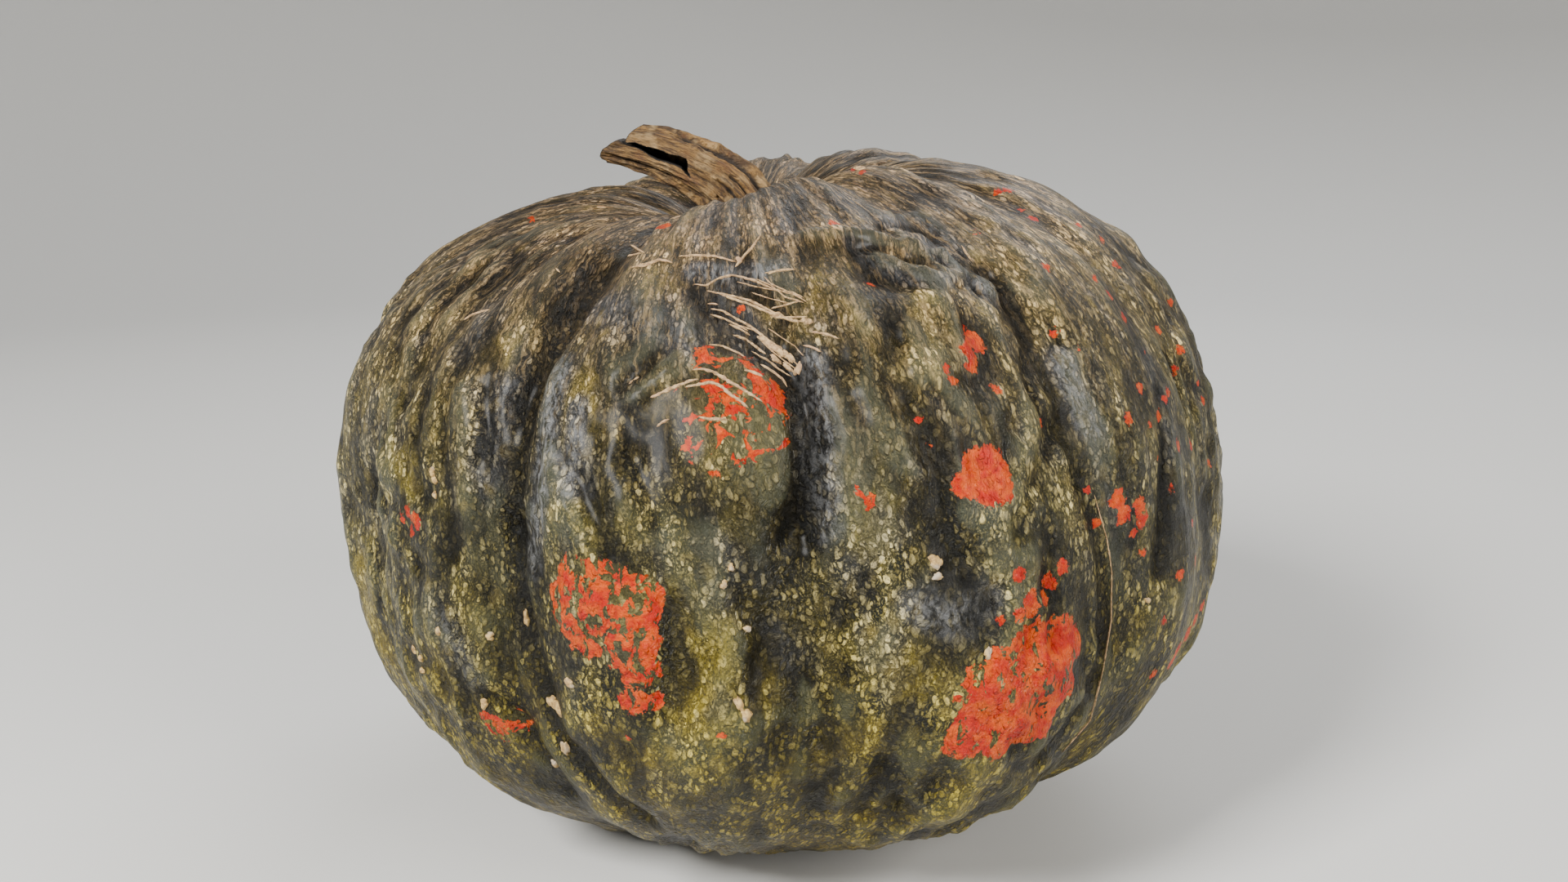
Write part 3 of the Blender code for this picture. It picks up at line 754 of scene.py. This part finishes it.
def rind_material(patches):
    """Mottled, speckled green rind with orange-red patches and a waxy gloss, with painted shade
    in its furrows and hollows and painted sheen on its flanks and ridges.
    """
    g = Graph("rind_skin")
    grain = g.attribute("grain", "Vector")
    way = g.attribute("way")
    cavity = g.attribute("cavity")
    furrow = g.attribute("furrow")
    place = g.node("ShaderNodeTexCoord").outputs["Object"]
    crown = g.between(way, 0.47, 0.15)
    base = g.between(way, 0.44, 0.68)

    # The grain runs down the skin and wavers, so no speck is a clean circle.
    waver = g.noise_colour(grain, 0.30, 2.0)
    waver = g.vector("MULTIPLY", g.vector("SUBTRACT", waver, (0.5, 0.5, 0.5)), (2.6, 2.6, 2.6))
    grain = g.vector("ADD", grain, waver)
    streaky = g.vector("MULTIPLY", grain, (1.0, 1.0, 0.45))

    # Broad mottling from black-green to olive, with yellow-green below and brown at the crown.
    broad = g.noise(grain, 0.035, 3.0, 0.6)
    mottle = g.noise(streaky, 0.17, 4.0, 0.65, 0.4)
    colour = g.mix(g.between(mottle, 0.38, 0.62), (0.005, 0.007, 0.005), (0.048, 0.044, 0.013))
    yellow = g.math("MULTIPLY", g.between(broad, 0.47, 0.62), g.math("MULTIPLY_ADD", base, 0.38, 0.20))
    yellow = g.math("MAXIMUM", yellow, g.ragged(g.attribute("olive"), mottle))
    colour = g.mix(yellow, colour, (0.120, 0.100, 0.010))
    colour = g.mix(g.math("MULTIPLY", crown, 0.5), colour, (0.090, 0.064, 0.042))
    # A bluish ground: a waxy bloom at random, and painted sheen where the bluish marks lie.
    bloom = g.between(g.noise(streaky, 0.10, 3.0, 0.6, 0.3), 0.50, 0.62)
    bloom_and_sheen = g.math("MAXIMUM", g.math("MULTIPLY", bloom, 0.60), g.ragged(g.attribute("bluish_sheen"), mottle))
    colour = g.mix(bloom_and_sheen, colour, (0.020, 0.022, 0.038))

    # Dense pale specks, drawn out along the grain, over larger olive spots.
    spots, spot_tone = g.cells(g.vector("MULTIPLY", grain, (1.0, 1.0, 0.7)), 0.19)
    spot = g.math("MULTIPLY", g.between(spots, 0.42, 0.16), g.between(channel(g, spot_tone, 0), 0.25, 0.9, 0.0, 0.70))
    colour = g.mix(spot, colour, g.mix(base, (0.190, 0.155, 0.066), (0.190, 0.165, 0.035)))
    kept = g.between(g.noise(streaky, 0.12, 4.0, 0.65), 0.40, 0.58)
    kept = g.math("MULTIPLY", kept, g.math("MULTIPLY_ADD", bloom_and_sheen, -0.35, 1.0))
    large, large_tone = g.cells(g.vector("MULTIPLY", grain, (1.0, 1.0, 0.70)), 0.48)
    reach = g.math("MULTIPLY_ADD", channel(g, large_tone, 0), 0.30, 0.12)
    large = g.math("MULTIPLY", g.between(g.math("SUBTRACT", reach, large), -0.07, 0.08), g.math("MULTIPLY_ADD", base, 0.35, 0.15))
    near, tone = g.cells(g.vector("MULTIPLY", grain, (1.0, 1.0, 0.55)), 0.68)
    reach = g.math("MULTIPLY_ADD", channel(g, tone, 0), 0.34, 0.20)
    speck = g.between(g.math("SUBTRACT", reach, near), -0.07, 0.11)
    speck = g.math("MULTIPLY", speck, g.math("MULTIPLY_ADD", kept, 0.64, 0.28))
    speck = g.math("MAXIMUM", speck, large)
    pale = g.mix(channel(g, tone, 2), (0.32, 0.27, 0.115), (0.78, 0.70, 0.47))
    pale = g.mix(base, pale, g.mix(channel(g, tone, 1), (0.27, 0.240, 0.050), (0.66, 0.61, 0.22)))
    pale = g.mix(crown, pale, g.mix(channel(g, tone, 1), (0.40, 0.270, 0.175), (0.82, 0.66, 0.50)))
    # Specks turn blue-grey in the bloom and the painted sheen.
    pale = g.mix(g.math("MULTIPLY", bloom_and_sheen, 0.6), pale, (0.41, 0.42, 0.58))
    colour = g.mix(speck, colour, pale)
    dust = g.noise(g.vector("MULTIPLY", grain, (1.0, 1.0, 0.60)), 2.3, 3.0, 0.6)
    dust_pale = g.math("MULTIPLY", g.between(dust, 0.50, 0.68), g.math("MULTIPLY_ADD", kept, 0.30, 0.15))
    colour = g.mix(dust_pale, colour, pale)
    colour = g.mix(g.between(dust, 0.49, 0.34, 0.0, 0.72), colour, (0.008, 0.009, 0.006))
    patchy = g.between(g.noise(streaky, 0.075, 3.0, 0.6, 0.5), 0.38, 0.60, 0.26, 1.26)
    colour = g.mix(1.0, colour, g.grey(patchy), "MULTIPLY")

    # Lengthwise streaks toward the crown.
    stretched = g.vector("MULTIPLY", grain, (1.0, 1.0, 0.13))
    streak = g.noise(stretched, 0.66, 4.0, 0.7)
    light_streak = g.math("MULTIPLY", g.between(streak, 0.52, 0.64), g.math("MULTIPLY", crown, 0.50))
    colour = g.mix(light_streak, colour, (0.54, 0.42, 0.29))
    dark_streak = g.math("MULTIPLY", g.between(streak, 0.48, 0.36), g.math("MULTIPLY_ADD", crown, 0.6, 0.2))
    colour = g.mix(dark_streak, colour, (0.014, 0.014, 0.010))

    # Painted shade: furrow floors, dents and hollows darkened; a painted bluish highlight on the ridges.
    dent_shade = g.between(cavity, -0.05, -0.9, 0.0, 0.74)
    floor = g.between(furrow, 0.30, 0.95, 0.0, 0.72)
    hollow_shade = g.math("MULTIPLY", g.ragged(g.attribute("painted_shade"), mottle), 0.66)
    dark = g.math("MAXIMUM", g.math("MAXIMUM", dent_shade, floor), hollow_shade)
    dark = g.math("MULTIPLY_ADD", g.math("MULTIPLY", dent_shade, floor), 0.30, dark, clamp=True)
    colour = g.mix(dark, colour, (0.02, 0.02, 0.018), "MULTIPLY")
    # Painted highlight: a pale bluish tint screened over the ridges.
    colour = g.mix(g.between(cavity, 0.10, 1.1), colour, (0.034, 0.040, 0.040), "SCREEN")

    # The rind is browner at the crown and yellower below.
    tint = g.mix(base, g.mix(crown, (0.86, 0.80, 0.50), (0.98, 0.84, 0.59)), (0.90, 0.76, 0.20))
    tint = g.mix(g.between(way, 0.62, 0.86), tint, (0.93, 0.70, 0.13))
    colour = g.mix(1.0, colour, tint, "MULTIPLY")

    # Painted sheen: pale blue-grey streaks on the flanks of the lobes where the bluish marks lie,
    # partly a waxy bloom and partly a painted highlight, kept off the painted shade.
    waxy_sheen = g.noise(g.vector("MULTIPLY", grain, (1.0, 1.0, 0.40)), 0.75, 4.0, 0.70)
    waxy_sheen = g.math("MULTIPLY", g.between(waxy_sheen, 0.40, 0.64), g.between(g.attribute("bluish_sheen"), 0.35, 1.6, 0.0, 1.5))
    waxy_sheen = g.math("MULTIPLY", waxy_sheen, g.math("MULTIPLY_ADD", dark, -0.42, 0.46), clamp=True)
    colour = g.mix(waxy_sheen, colour, (0.25, 0.255, 0.26))

    # Orange-red patches with ragged rims; some are streaked or broken by olive islands.
    rim = g.math("MULTIPLY", g.math("SUBTRACT", g.noise(place, 430.0, 4.0, 0.7), 0.5), 0.0062)
    coarse = g.math("MULTIPLY", g.math("SUBTRACT", g.noise(place, 190.0, 2.0, 0.5), 0.5), 0.006)
    coarse = g.math("ADD", rim, coarse)
    holes = g.noise(g.vector("MULTIPLY", place, (1.0, 1.0, 0.7)), 330.0, 3.0, 0.6, 0.5)
    gaps = g.noise(place, 190.0, 3.0, 0.65, 0.6)
    orange, halo = None, None
    for kind, ragged, pattern, least in (
        ("solid", rim, None, 0.0),
        ("streaked", coarse, holes, 0.40),
        ("netted", coarse, holes, 0.465),
        ("broken", coarse, gaps, 0.495),
    ):
        field = disc_field(g, place, patches[kind])
        mask = g.between(g.math("ADD", field, ragged), 0.0, 0.00035)
        if pattern is None:
            orange = mask
            continue
        halo = mask if halo is None else g.math("MAXIMUM", halo, mask)
        orange = g.math("MAXIMUM", orange, g.math("MULTIPLY", mask, g.between(pattern, least, least + 0.03)))
    colour = g.mix(g.math("MULTIPLY", halo, 0.25), colour, (0.085, 0.075, 0.024))
    warm = g.mix(g.between(g.noise(place, 260.0, 3.0, 0.6), 0.35, 0.65), (0.37, 0.008, 0.000), (0.52, 0.066, 0.000))
    colour = g.mix(orange, colour, warm)

    roughness = g.between(g.noise(grain, 0.16, 3.0, 0.6), 0.3, 0.7, 0.28, 0.46)
    roughness = g.math("ADD", roughness, g.math("MULTIPLY", crown, 0.14))
    pores = g.noise(grain, 1.3, 4.0, 0.65)
    crinkle = g.noise(g.vector("MULTIPLY", grain, (1.0, 1.0, 0.45)), 0.55, 4.0, 0.65, 0.6)
    height = g.math("ADD", g.math("MULTIPLY", pores, 0.45), crinkle)
    height = g.math("ADD", height, g.math("MULTIPLY", speck, 0.55))
    height = g.math("ADD", height, g.math("MULTIPLY", g.math("MULTIPLY", streak, crown), 0.9))
    g.put(RIND_SPECULAR, g.shader.inputs["Specular IOR Level"])
    g.put(COAT_WEIGHT, g.shader.inputs["Coat Weight"])
    g.put(COAT_ROUGHNESS, g.shader.inputs["Coat Roughness"])
    return g.finish(colour, roughness, g.bump(height, 0.0025, 1.0))


def cork_material():
    """Dry tan cork of healed scratches."""
    g = Graph("cork")
    place = g.node("ShaderNodeTexCoord").outputs["Object"]
    grit = g.noise(place, 900.0, 4.0, 0.7)
    patch = g.noise(place, 200.0, 2.0, 0.5)
    colour = g.mix(g.between(grit, 0.35, 0.65), (0.17, 0.100, 0.042), (0.46, 0.31, 0.155))
    colour = g.mix(g.between(patch, 0.45, 0.7, 0.0, 0.6), colour, (0.38, 0.23, 0.13))
    return g.finish(colour, 0.8, g.bump(grit, 0.0004))


def fleck_material():
    """Pale tan dried flecks."""
    g = Graph("fleck")
    place = g.node("ShaderNodeTexCoord").outputs["Object"]
    grit = g.noise(place, 700.0, 4.0, 0.7)
    patch = g.noise(place, 240.0, 2.0, 0.5)
    colour = g.mix(g.between(grit, 0.35, 0.65), (0.20, 0.115, 0.036), (0.46, 0.31, 0.11))
    colour = g.mix(g.between(patch, 0.5, 0.75, 0.0, 0.7), colour, (0.36, 0.34, 0.30))
    return g.finish(colour, 0.75, g.bump(grit, 0.0005))


def build_cork_lines(tree):
    """Thin raised scars that follow the skin, each tapering to its ends."""
    vertices, faces = [], []
    sides = 8
    chance = random.Random(5)
    for half_width, line in CORK_LINES:
        hits = photo_line(tree, line, 3.0)
        count = len(hits)
        first = len(vertices)
        for k, (place, normal) in enumerate(hits):
            ahead = hits[min(k + 1, count - 1)][0] - hits[max(k - 1, 0)][0]
            across = normal.cross(ahead).normalized()
            share = k / (count - 1)
            taper = math.sqrt(max(0.0, 1.0 - (2.0 * share - 1.0) ** 4)) + 0.05
            width = half_width * PIXEL * taper * chance.uniform(0.35, 0.90)
            rise = 0.45 * MM * taper * chance.uniform(0.7, 1.1)
            centre = place + across * chance.uniform(-0.2, 0.2) * width
            for s in range(sides):
                turn = 2.0 * math.pi * s / sides
                vertices.append(centre + across * math.cos(turn) * width + normal * math.sin(turn) * rise)
        for k in range(count - 1):
            for s in range(sides):
                a, b = first + k * sides + s, first + k * sides + (s + 1) % sides
                faces.append((a, b, b + sides, a + sides))
        faces.append(tuple(first + s for s in reversed(range(sides))))
        faces.append(tuple(first + (count - 1) * sides + s for s in range(sides)))
    return add_mesh("cork_scars", [tuple(v) for v in vertices], faces, [cork_material()])


def build_mounds(tree, name, marks, rise, mat, seed):
    """Low ragged mounds on the skin."""
    vertices, faces = [], []
    rings, sides = 5, 22
    chance = random.Random(seed)
    for px, py, wide, tall, turn in marks:
        place, normal = photo_hit(tree, px, py)
        if place is None:
            continue
        up = (Vector((0.0, 0.0, 1.0)) - normal * normal.z).normalized()
        right = up.cross(normal)
        first = len(vertices)
        turn = math.radians(-turn)
        phases = [chance.uniform(0.0, 2.0 * math.pi) for _ in range(4)]
        for ring in range(rings):
            share = (ring + 1) / rings
            for s in range(sides):
                angle = 2.0 * math.pi * s / sides
                ragged = 1.0 + 0.16 * math.sin(2.0 * angle + phases[0]) + 0.12 * math.sin(3.0 * angle + phases[1])
                ragged += 0.10 * math.sin(5.0 * angle + phases[2]) + 0.08 * math.sin(8.0 * angle + phases[3])
                u = wide * PIXEL * share * ragged * math.cos(angle)
                v = tall * PIXEL * share * ragged * math.sin(angle)
                u, v = u * math.cos(turn) - v * math.sin(turn), u * math.sin(turn) + v * math.cos(turn)
                spot = place + right * u + up * v
                near, bent, _, _ = tree.find_nearest(spot)
                lift = rise * (1.0 - share**3) - 0.25 * MM * share**6 + chance.uniform(-0.05, 0.05) * MM
                vertices.append(near + bent * lift)
        crest = len(vertices)
        vertices.append(place + normal * rise)
        under = len(vertices)
        vertices.append(place - normal * 1.2 * MM)
        for s in range(sides):
            t = (s + 1) % sides
            faces.append((crest, first + s, first + t))
            for ring in range(rings - 1):
                a, b = first + ring * sides, first + (ring + 1) * sides
                faces.append((a + s, b + s, b + t, a + t))
            last = first + (rings - 1) * sides
            faces.append((under, last + t, last + s))
    return add_mesh(name, [tuple(v) for v in vertices], faces, [mat])


# The stem, in mm: its axis, with heights from the seat, its radius at each point of the axis,
# and the angle and height of the woody ridges round it; angle 0 faces the front and 90 up.
STEM_AXIS = ((-12.0, 4.0, 0.0), (-12.3, 4.0, 5.2), (-14.9, 4.0, 10.6), (-19.5, 4.0, 15.2),
             (-26.3, 4.0, 19.0), (-36.4, 4.2, 23.2), (-46.0, 4.4, 25.4), (-55.0, 4.6, 27.0))
STEM_RADII = (11.6, 11.0, 10.4, 9.6, 8.8, 7.6, 6.4, 5.6)
STEM_RIDGES = ((8, 1.0), (37, 0.8), (72, 1.1), (108, 0.7), (146, 0.9), (185, 0.8), (222, 1.0), (262, 0.8),
               (298, 1.0), (334, 0.7))
GROOVE_SHARE, RIDGE_SHARE, RIDGE_WIDTH = 0.86, 0.15, 11.0
STEM_AROUND, STEM_ALONG = 240, 150
# Splits between the ridges: angle, first and last share of the length, half width in degrees, depth share.
STEM_SPLITS = ((60, 0.14, 0.60, 8.0, 0.42), (24, 0.10, 0.30, 3.0, 0.22), (2, 0.02, 0.34, 3.0, 0.24),
               (-22, 0.04, 0.28, 3.0, 0.20), (44, 0.30, 0.62, 2.5, 0.14), (88, 0.20, 0.80, 3.0, 0.15),
               (-42, 0.30, 0.90, 3.0, 0.14), (120, 0.10, 0.60, 4.0, 0.22), (165, 0.30, 0.95, 4.0, 0.20),
               (205, 0.05, 0.50, 4.0, 0.22), (245, 0.30, 0.90, 4.0, 0.18), (285, 0.10, 0.55, 4.0, 0.20))
# The split of the far end, in mm, as outlines seen from the front: x and height from the seat.
# The slot opens to the front only; the trim cuts right through and leaves two uneven prongs.
SLOT_OUTLINE = ((-27.4, 16.6), (-28.3, 18.6), (-28.1, 20.7), (-28.6, 21.9), (-30.4, 22.6), (-33.2, 23.1), (-36.9, 24.6),
                (-40.1, 25.2), (-43.0, 26.3), (-45.6, 26.2), (-50.0, 28.5), (-45.6, 25.4), (-42.8, 24.9), (-40.8, 23.9),
                (-39.2, 22.6), (-36.9, 21.4), (-34.6, 20.9), (-31.8, 20.0), (-30.0, 19.2), (-28.6, 17.6))
SLOT_BACK = 7.5
TRIM_OUTLINE = ((-45.9, 26.2), (-45.7, 27.4), (-44.9, 28.6), (-43.7, 29.7), (-42.3, 30.5), (-40.9, 31.2), (-39.8, 31.6),
                (-39.2, 36.0), (-66.0, 36.0), (-66.0, 14.0), (-51.8, 14.0), (-52.2, 21.0), (-53.2, 21.5), (-53.7, 22.3),
                (-53.3, 23.3), (-52.6, 24.4), (-51.4, 25.1), (-50.2, 26.0), (-48.9, 26.7), (-47.5, 27.0), (-46.3, 26.8))
CUTTER_REACH = 30.0


def stem_station(share):
    """Point, radius and direction of the stem at a share of its length, in mm."""
    knots = np.array(STEM_AXIS)
    at = np.concatenate([[0.0], np.cumsum(np.linalg.norm(np.diff(knots, axis=0), axis=1))])
    at /= at[-1]
    slopes = np.gradient(knots, at, axis=0)
    i = min(int(np.searchsorted(at, share, side="right")) - 1, len(at) - 2)
    span = at[i + 1] - at[i]
    s = (share - at[i]) / span
    point = (
        (1.0 + 2.0 * s) * (1.0 - s) ** 2 * knots[i]
        + s * (1.0 - s) ** 2 * span * slopes[i]
        + s * s * (3.0 - 2.0 * s) * knots[i + 1]
        + s * s * (s - 1.0) * span * slopes[i + 1]
    )
    direction = slopes[i] * (1.0 - s) + slopes[i + 1] * s
    if share == 0.0:
        direction = np.array([0.0, 0.0, 1.0])
    return point, np.interp(share, at, STEM_RADII), direction / np.linalg.norm(direction)


def stem_reach(angle, share):
    """Share of the radius at an angle and a share of the stem's length: ridges, fibres and splits."""
    reach = GROOVE_SHARE
    turn = math.radians(angle)
    across, side = math.cos(turn), math.sin(turn)
    drift = 7.0 * noise.noise(Vector((across * 1.5, side * 1.5, share * 4.0)))
    for place, height in STEM_RIDGES:
        off = (angle + drift - place + 180.0) % 360.0 - 180.0
        reach += RIDGE_SHARE * height * math.exp(-((off / RIDGE_WIDTH) ** 2))
    for place, first, last, width, depth in STEM_SPLITS:
        off = (angle + drift - place + 180.0) % 360.0 - 180.0
        middle, half = (first + last) / 2.0, (last - first) / 2.0
        within = max(0.0, 1.0 - ((share - middle) / half) ** 2)
        ragged = 1.0 + 0.6 * noise.noise(Vector((place * 0.37, 3.0, share * 26.0)))
        reach -= depth * math.sqrt(within) * math.exp(-((off / (width * ragged)) ** 4))
    fibre = noise.noise(Vector((across * 9.0, side * 9.0, share * 7.0)))
    fine = noise.noise(Vector((across * 21.0, side * 21.0, share * 22.0)))
    knots = noise.noise(Vector((across * 3.0, side * 3.0, share * 11.0 + 20.0)))
    return reach + 0.08 * fibre + 0.045 * fine + 0.06 * knots


def on_seat(points):
    """Points in mm from the fruit's axis and the stem's seat, as points of the whole object."""
    return np.asarray(points) * MM + np.array([-CENTRE[0], -CENTRE[1], SEAT_HEIGHT + REST_DROP + 0.0003])


def add_cutter(name, outline, back, mat):
    """A prism that runs from in front of the stem to the given depth."""
    count = len(outline)
    points = [(x, -CUTTER_REACH, z) for x, z in outline] + [(x, back, z) for x, z in outline]
    faces = [tuple(range(count)), tuple(range(2 * count - 1, count - 1, -1))]
    faces += [(i, i + count, (i + 1) % count + count, (i + 1) % count) for i in range(count)]
    mesh = bpy.data.meshes.new(name)
    mesh.from_pydata(on_seat(points).tolist(), [], faces)
    mesh.materials.append(mat)
    cutter = bpy.data.objects.new(name, mesh)
    bpy.context.scene.collection.objects.link(cutter)
    return cutter


def wood_material(name, light, dark):
    """Dry ridged wood with lengthwise fibres, and painted shade that darkens its grooves."""
    g = Graph(name)
    fibre = g.attribute("fibre", "Vector")
    place = g.node("ShaderNodeTexCoord").outputs["Object"]
    lines = g.noise(fibre, 1.0, 5.0, 0.72, 0.3)
    hairs = g.noise(g.vector("MULTIPLY", fibre, (2.6, 2.6, 3.0)), 1.0, 4.0, 0.7)
    broad = g.noise(place, 170.0, 3.0, 0.6)
    colour = g.mix(g.between(lines, 0.40, 0.57), dark, light)
    colour = g.mix(g.between(broad, 0.50, 0.68, 0.0, 0.55), colour, (0.44, 0.30, 0.14))
    colour = g.mix(g.between(broad, 0.46, 0.34, 0.0, 0.45), colour, (0.17, 0.070, 0.022))
    colour = g.mix(g.between(hairs, 0.50, 0.38, 0.0, 0.60), colour, (0.060, 0.034, 0.018))
    crevice = g.attribute("crevice")
    # Painted shade: near black deep in the grooves and splits.
    colour = g.mix(g.between(crevice, 0.90, 0.74, 0.0, 0.95), colour, (0.014, 0.008, 0.004))
    grit = g.noise(place, 1100.0, 4.0, 0.7)
    height = g.math("ADD", g.math("ADD", lines, hairs), g.math("MULTIPLY", grit, 0.5))
    return g.finish(colour, 0.82, g.bump(height, 0.0014))


def build_stem():
    """The ridged woody stem, split into two prongs at its far end, with painted shade on the faces inside its slot."""
    rings, fibres, crevices = [], [], []
    for share in np.linspace(0.0, 1.0, STEM_ALONG):
        point, radius, direction = stem_station(share)
        front = np.array([0.0, -1.0, 0.0])
        front -= direction * front.dot(direction)
        front /= np.linalg.norm(front)
        up = np.cross(direction, front)
        for angle in np.linspace(0.0, 360.0, STEM_AROUND, endpoint=False):
            turn = math.radians(angle)
            reach = stem_reach(angle, share)
            rings.append(point + radius * reach * (math.cos(turn) * front + math.sin(turn) * up))
            fibres.append((math.cos(turn) * 8.0, math.sin(turn) * 8.0, share * 9.0))
            crevices.append(reach)
    vertices = on_seat(rings).tolist()
    faces = []
    for k in range(STEM_ALONG - 1):
        for i in range(STEM_AROUND):
            j = (i + 1) % STEM_AROUND
            faces.append((k * STEM_AROUND + i, (k + 1) * STEM_AROUND + i, (k + 1) * STEM_AROUND + j, k * STEM_AROUND + j))
    last = (STEM_ALONG - 1) * STEM_AROUND
    faces.append(tuple(range(STEM_AROUND)))
    faces.append(tuple(last + i for i in reversed(range(STEM_AROUND))))
    wood = wood_material("stem_wood_look", (0.235, 0.130, 0.040), (0.050, 0.025, 0.008))
    # Painted shade: the faces cut inside the slot take a near-black wood.
    slot_shade = wood_material("stem_slot_shade", (0.060, 0.036, 0.020), (0.020, 0.012, 0.008))
    stem = add_mesh("pumpkin_stem", vertices, faces, [wood, slot_shade])
    add_attribute(stem, "fibre", "FLOAT_VECTOR", fibres)
    add_attribute(stem, "crevice", "FLOAT", crevices)
    cutters = [add_cutter("slot_cutter", SLOT_OUTLINE, SLOT_BACK, slot_shade), add_cutter("trim_cutter", TRIM_OUTLINE, CUTTER_REACH, wood)]
    for cutter in cutters:
        cut = stem.modifiers.new(cutter.name, "BOOLEAN")
        cut.operation = "DIFFERENCE"
        cut.solver = "EXACT"
        cut.material_mode = "TRANSFER"
        cut.object = cutter
    bpy.context.view_layer.update()
    graph = bpy.context.evaluated_depsgraph_get()
    cut_mesh = bpy.data.meshes.new_from_object(stem.evaluated_get(graph))
    stem.modifiers.clear()
    stem.data = cut_mesh
    for cutter in cutters:
        bpy.data.objects.remove(cutter, do_unlink=True)
    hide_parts("stem")


def add_floor():
    """A plain pale round floor that curves up all round into a backdrop."""
    reach, bend, bends, sides = 1.1, 1.2, 16, 96
    profile = [(0.4, 0.0)]
    for k in range(bends + 1):
        turn = math.radians(90.0 * k / bends)
        profile.append((reach + bend * math.sin(turn), bend * (1.0 - math.cos(turn))))
    profile.append((reach + bend, 3.0))
    vertices = []
    for radius, height in profile:
        for s in range(sides):
            turn = 2.0 * math.pi * s / sides
            vertices.append((radius * math.cos(turn), radius * math.sin(turn), height))
    faces = [tuple(range(sides))]
    for k in range(len(profile) - 1):
        for s in range(sides):
            a, b = k * sides + s, k * sides + (s + 1) % sides
            faces.append((a, a + sides, b + sides, b))
    mesh = bpy.data.meshes.new("floor")
    mesh.from_pydata(vertices, [], faces)
    mesh.shade_smooth()
    g = Graph("floor_pale")
    mesh.materials.append(g.finish((0.50, 0.50, 0.49, 1.0), 0.9))
    floor = bpy.data.objects.new("floor", mesh)
    bpy.context.scene.collection.objects.link(floor)


def add_light(name, place, target, size, power, colour):
    """A soft square light aimed at a point."""
    light = bpy.data.lights.new(name, "AREA")
    light.size = size
    light.energy = power
    light.color = colour
    obj = bpy.data.objects.new(name, light)
    obj.location = place
    obj.rotation_euler = (Vector(target) - Vector(place)).to_track_quat("-Z", "Y").to_euler()
    bpy.context.scene.collection.objects.link(obj)


def add_lights():
    """Soft studio light, the strongest from the upper left."""
    middle = (0.0, 0.0, 0.10)
    add_light("key", (-0.72, -0.85, 0.90), middle, 0.40, 48.0, (1.0, 0.98, 0.94))
    add_light("fill", (1.0, -0.8, 0.60), middle, 0.9, 27.0, (1.0, 0.96, 0.90))
    add_light("back", (0.45, 0.95, 1.10), middle, 1.0, 15.0, (0.97, 0.98, 1.0))
    world = bpy.data.worlds.new("studio")
    world.use_nodes = True
    sky = world.node_tree.nodes["Background"]
    sky.inputs["Color"].default_value = (0.86, 0.87, 0.90, 1.0)
    sky.inputs["Strength"].default_value = 0.20
    bpy.context.scene.world = world


def add_camera():
    """The camera at the photo's place and angle."""
    eye, ahead, _, _ = eye_frame()
    lens = bpy.data.cameras.new("photo_view")
    lens.sensor_width = 36.0
    lens.lens = PHOTO_FOCAL / PHOTO_WIDTH * lens.sensor_width
    lens.shift_x = (PHOTO_WIDTH / 2.0 - PHOTO_AHEAD[0]) / PHOTO_WIDTH
    lens.shift_y = (PHOTO_AHEAD[1] - PHOTO_HEIGHT / 2.0) / PHOTO_WIDTH
    lens.clip_start = 0.01
    camera = bpy.data.objects.new("photo_view", lens)
    camera.location = eye
    camera.rotation_euler = ahead.to_track_quat("-Z", "Y").to_euler()
    bpy.context.scene.collection.objects.link(camera)
    bpy.context.scene.camera = camera


tree = build_fruit()
build_cork_lines(tree)
build_mounds(tree, "cork_flakes", CORK_FLAKES, 0.5 * MM, cork_material(), 3)
build_mounds(tree, "tan_flecks", TAN_FLECKS, 0.8 * MM, fleck_material(), 7)
build_stem()
add_floor()
add_lights()
add_camera()
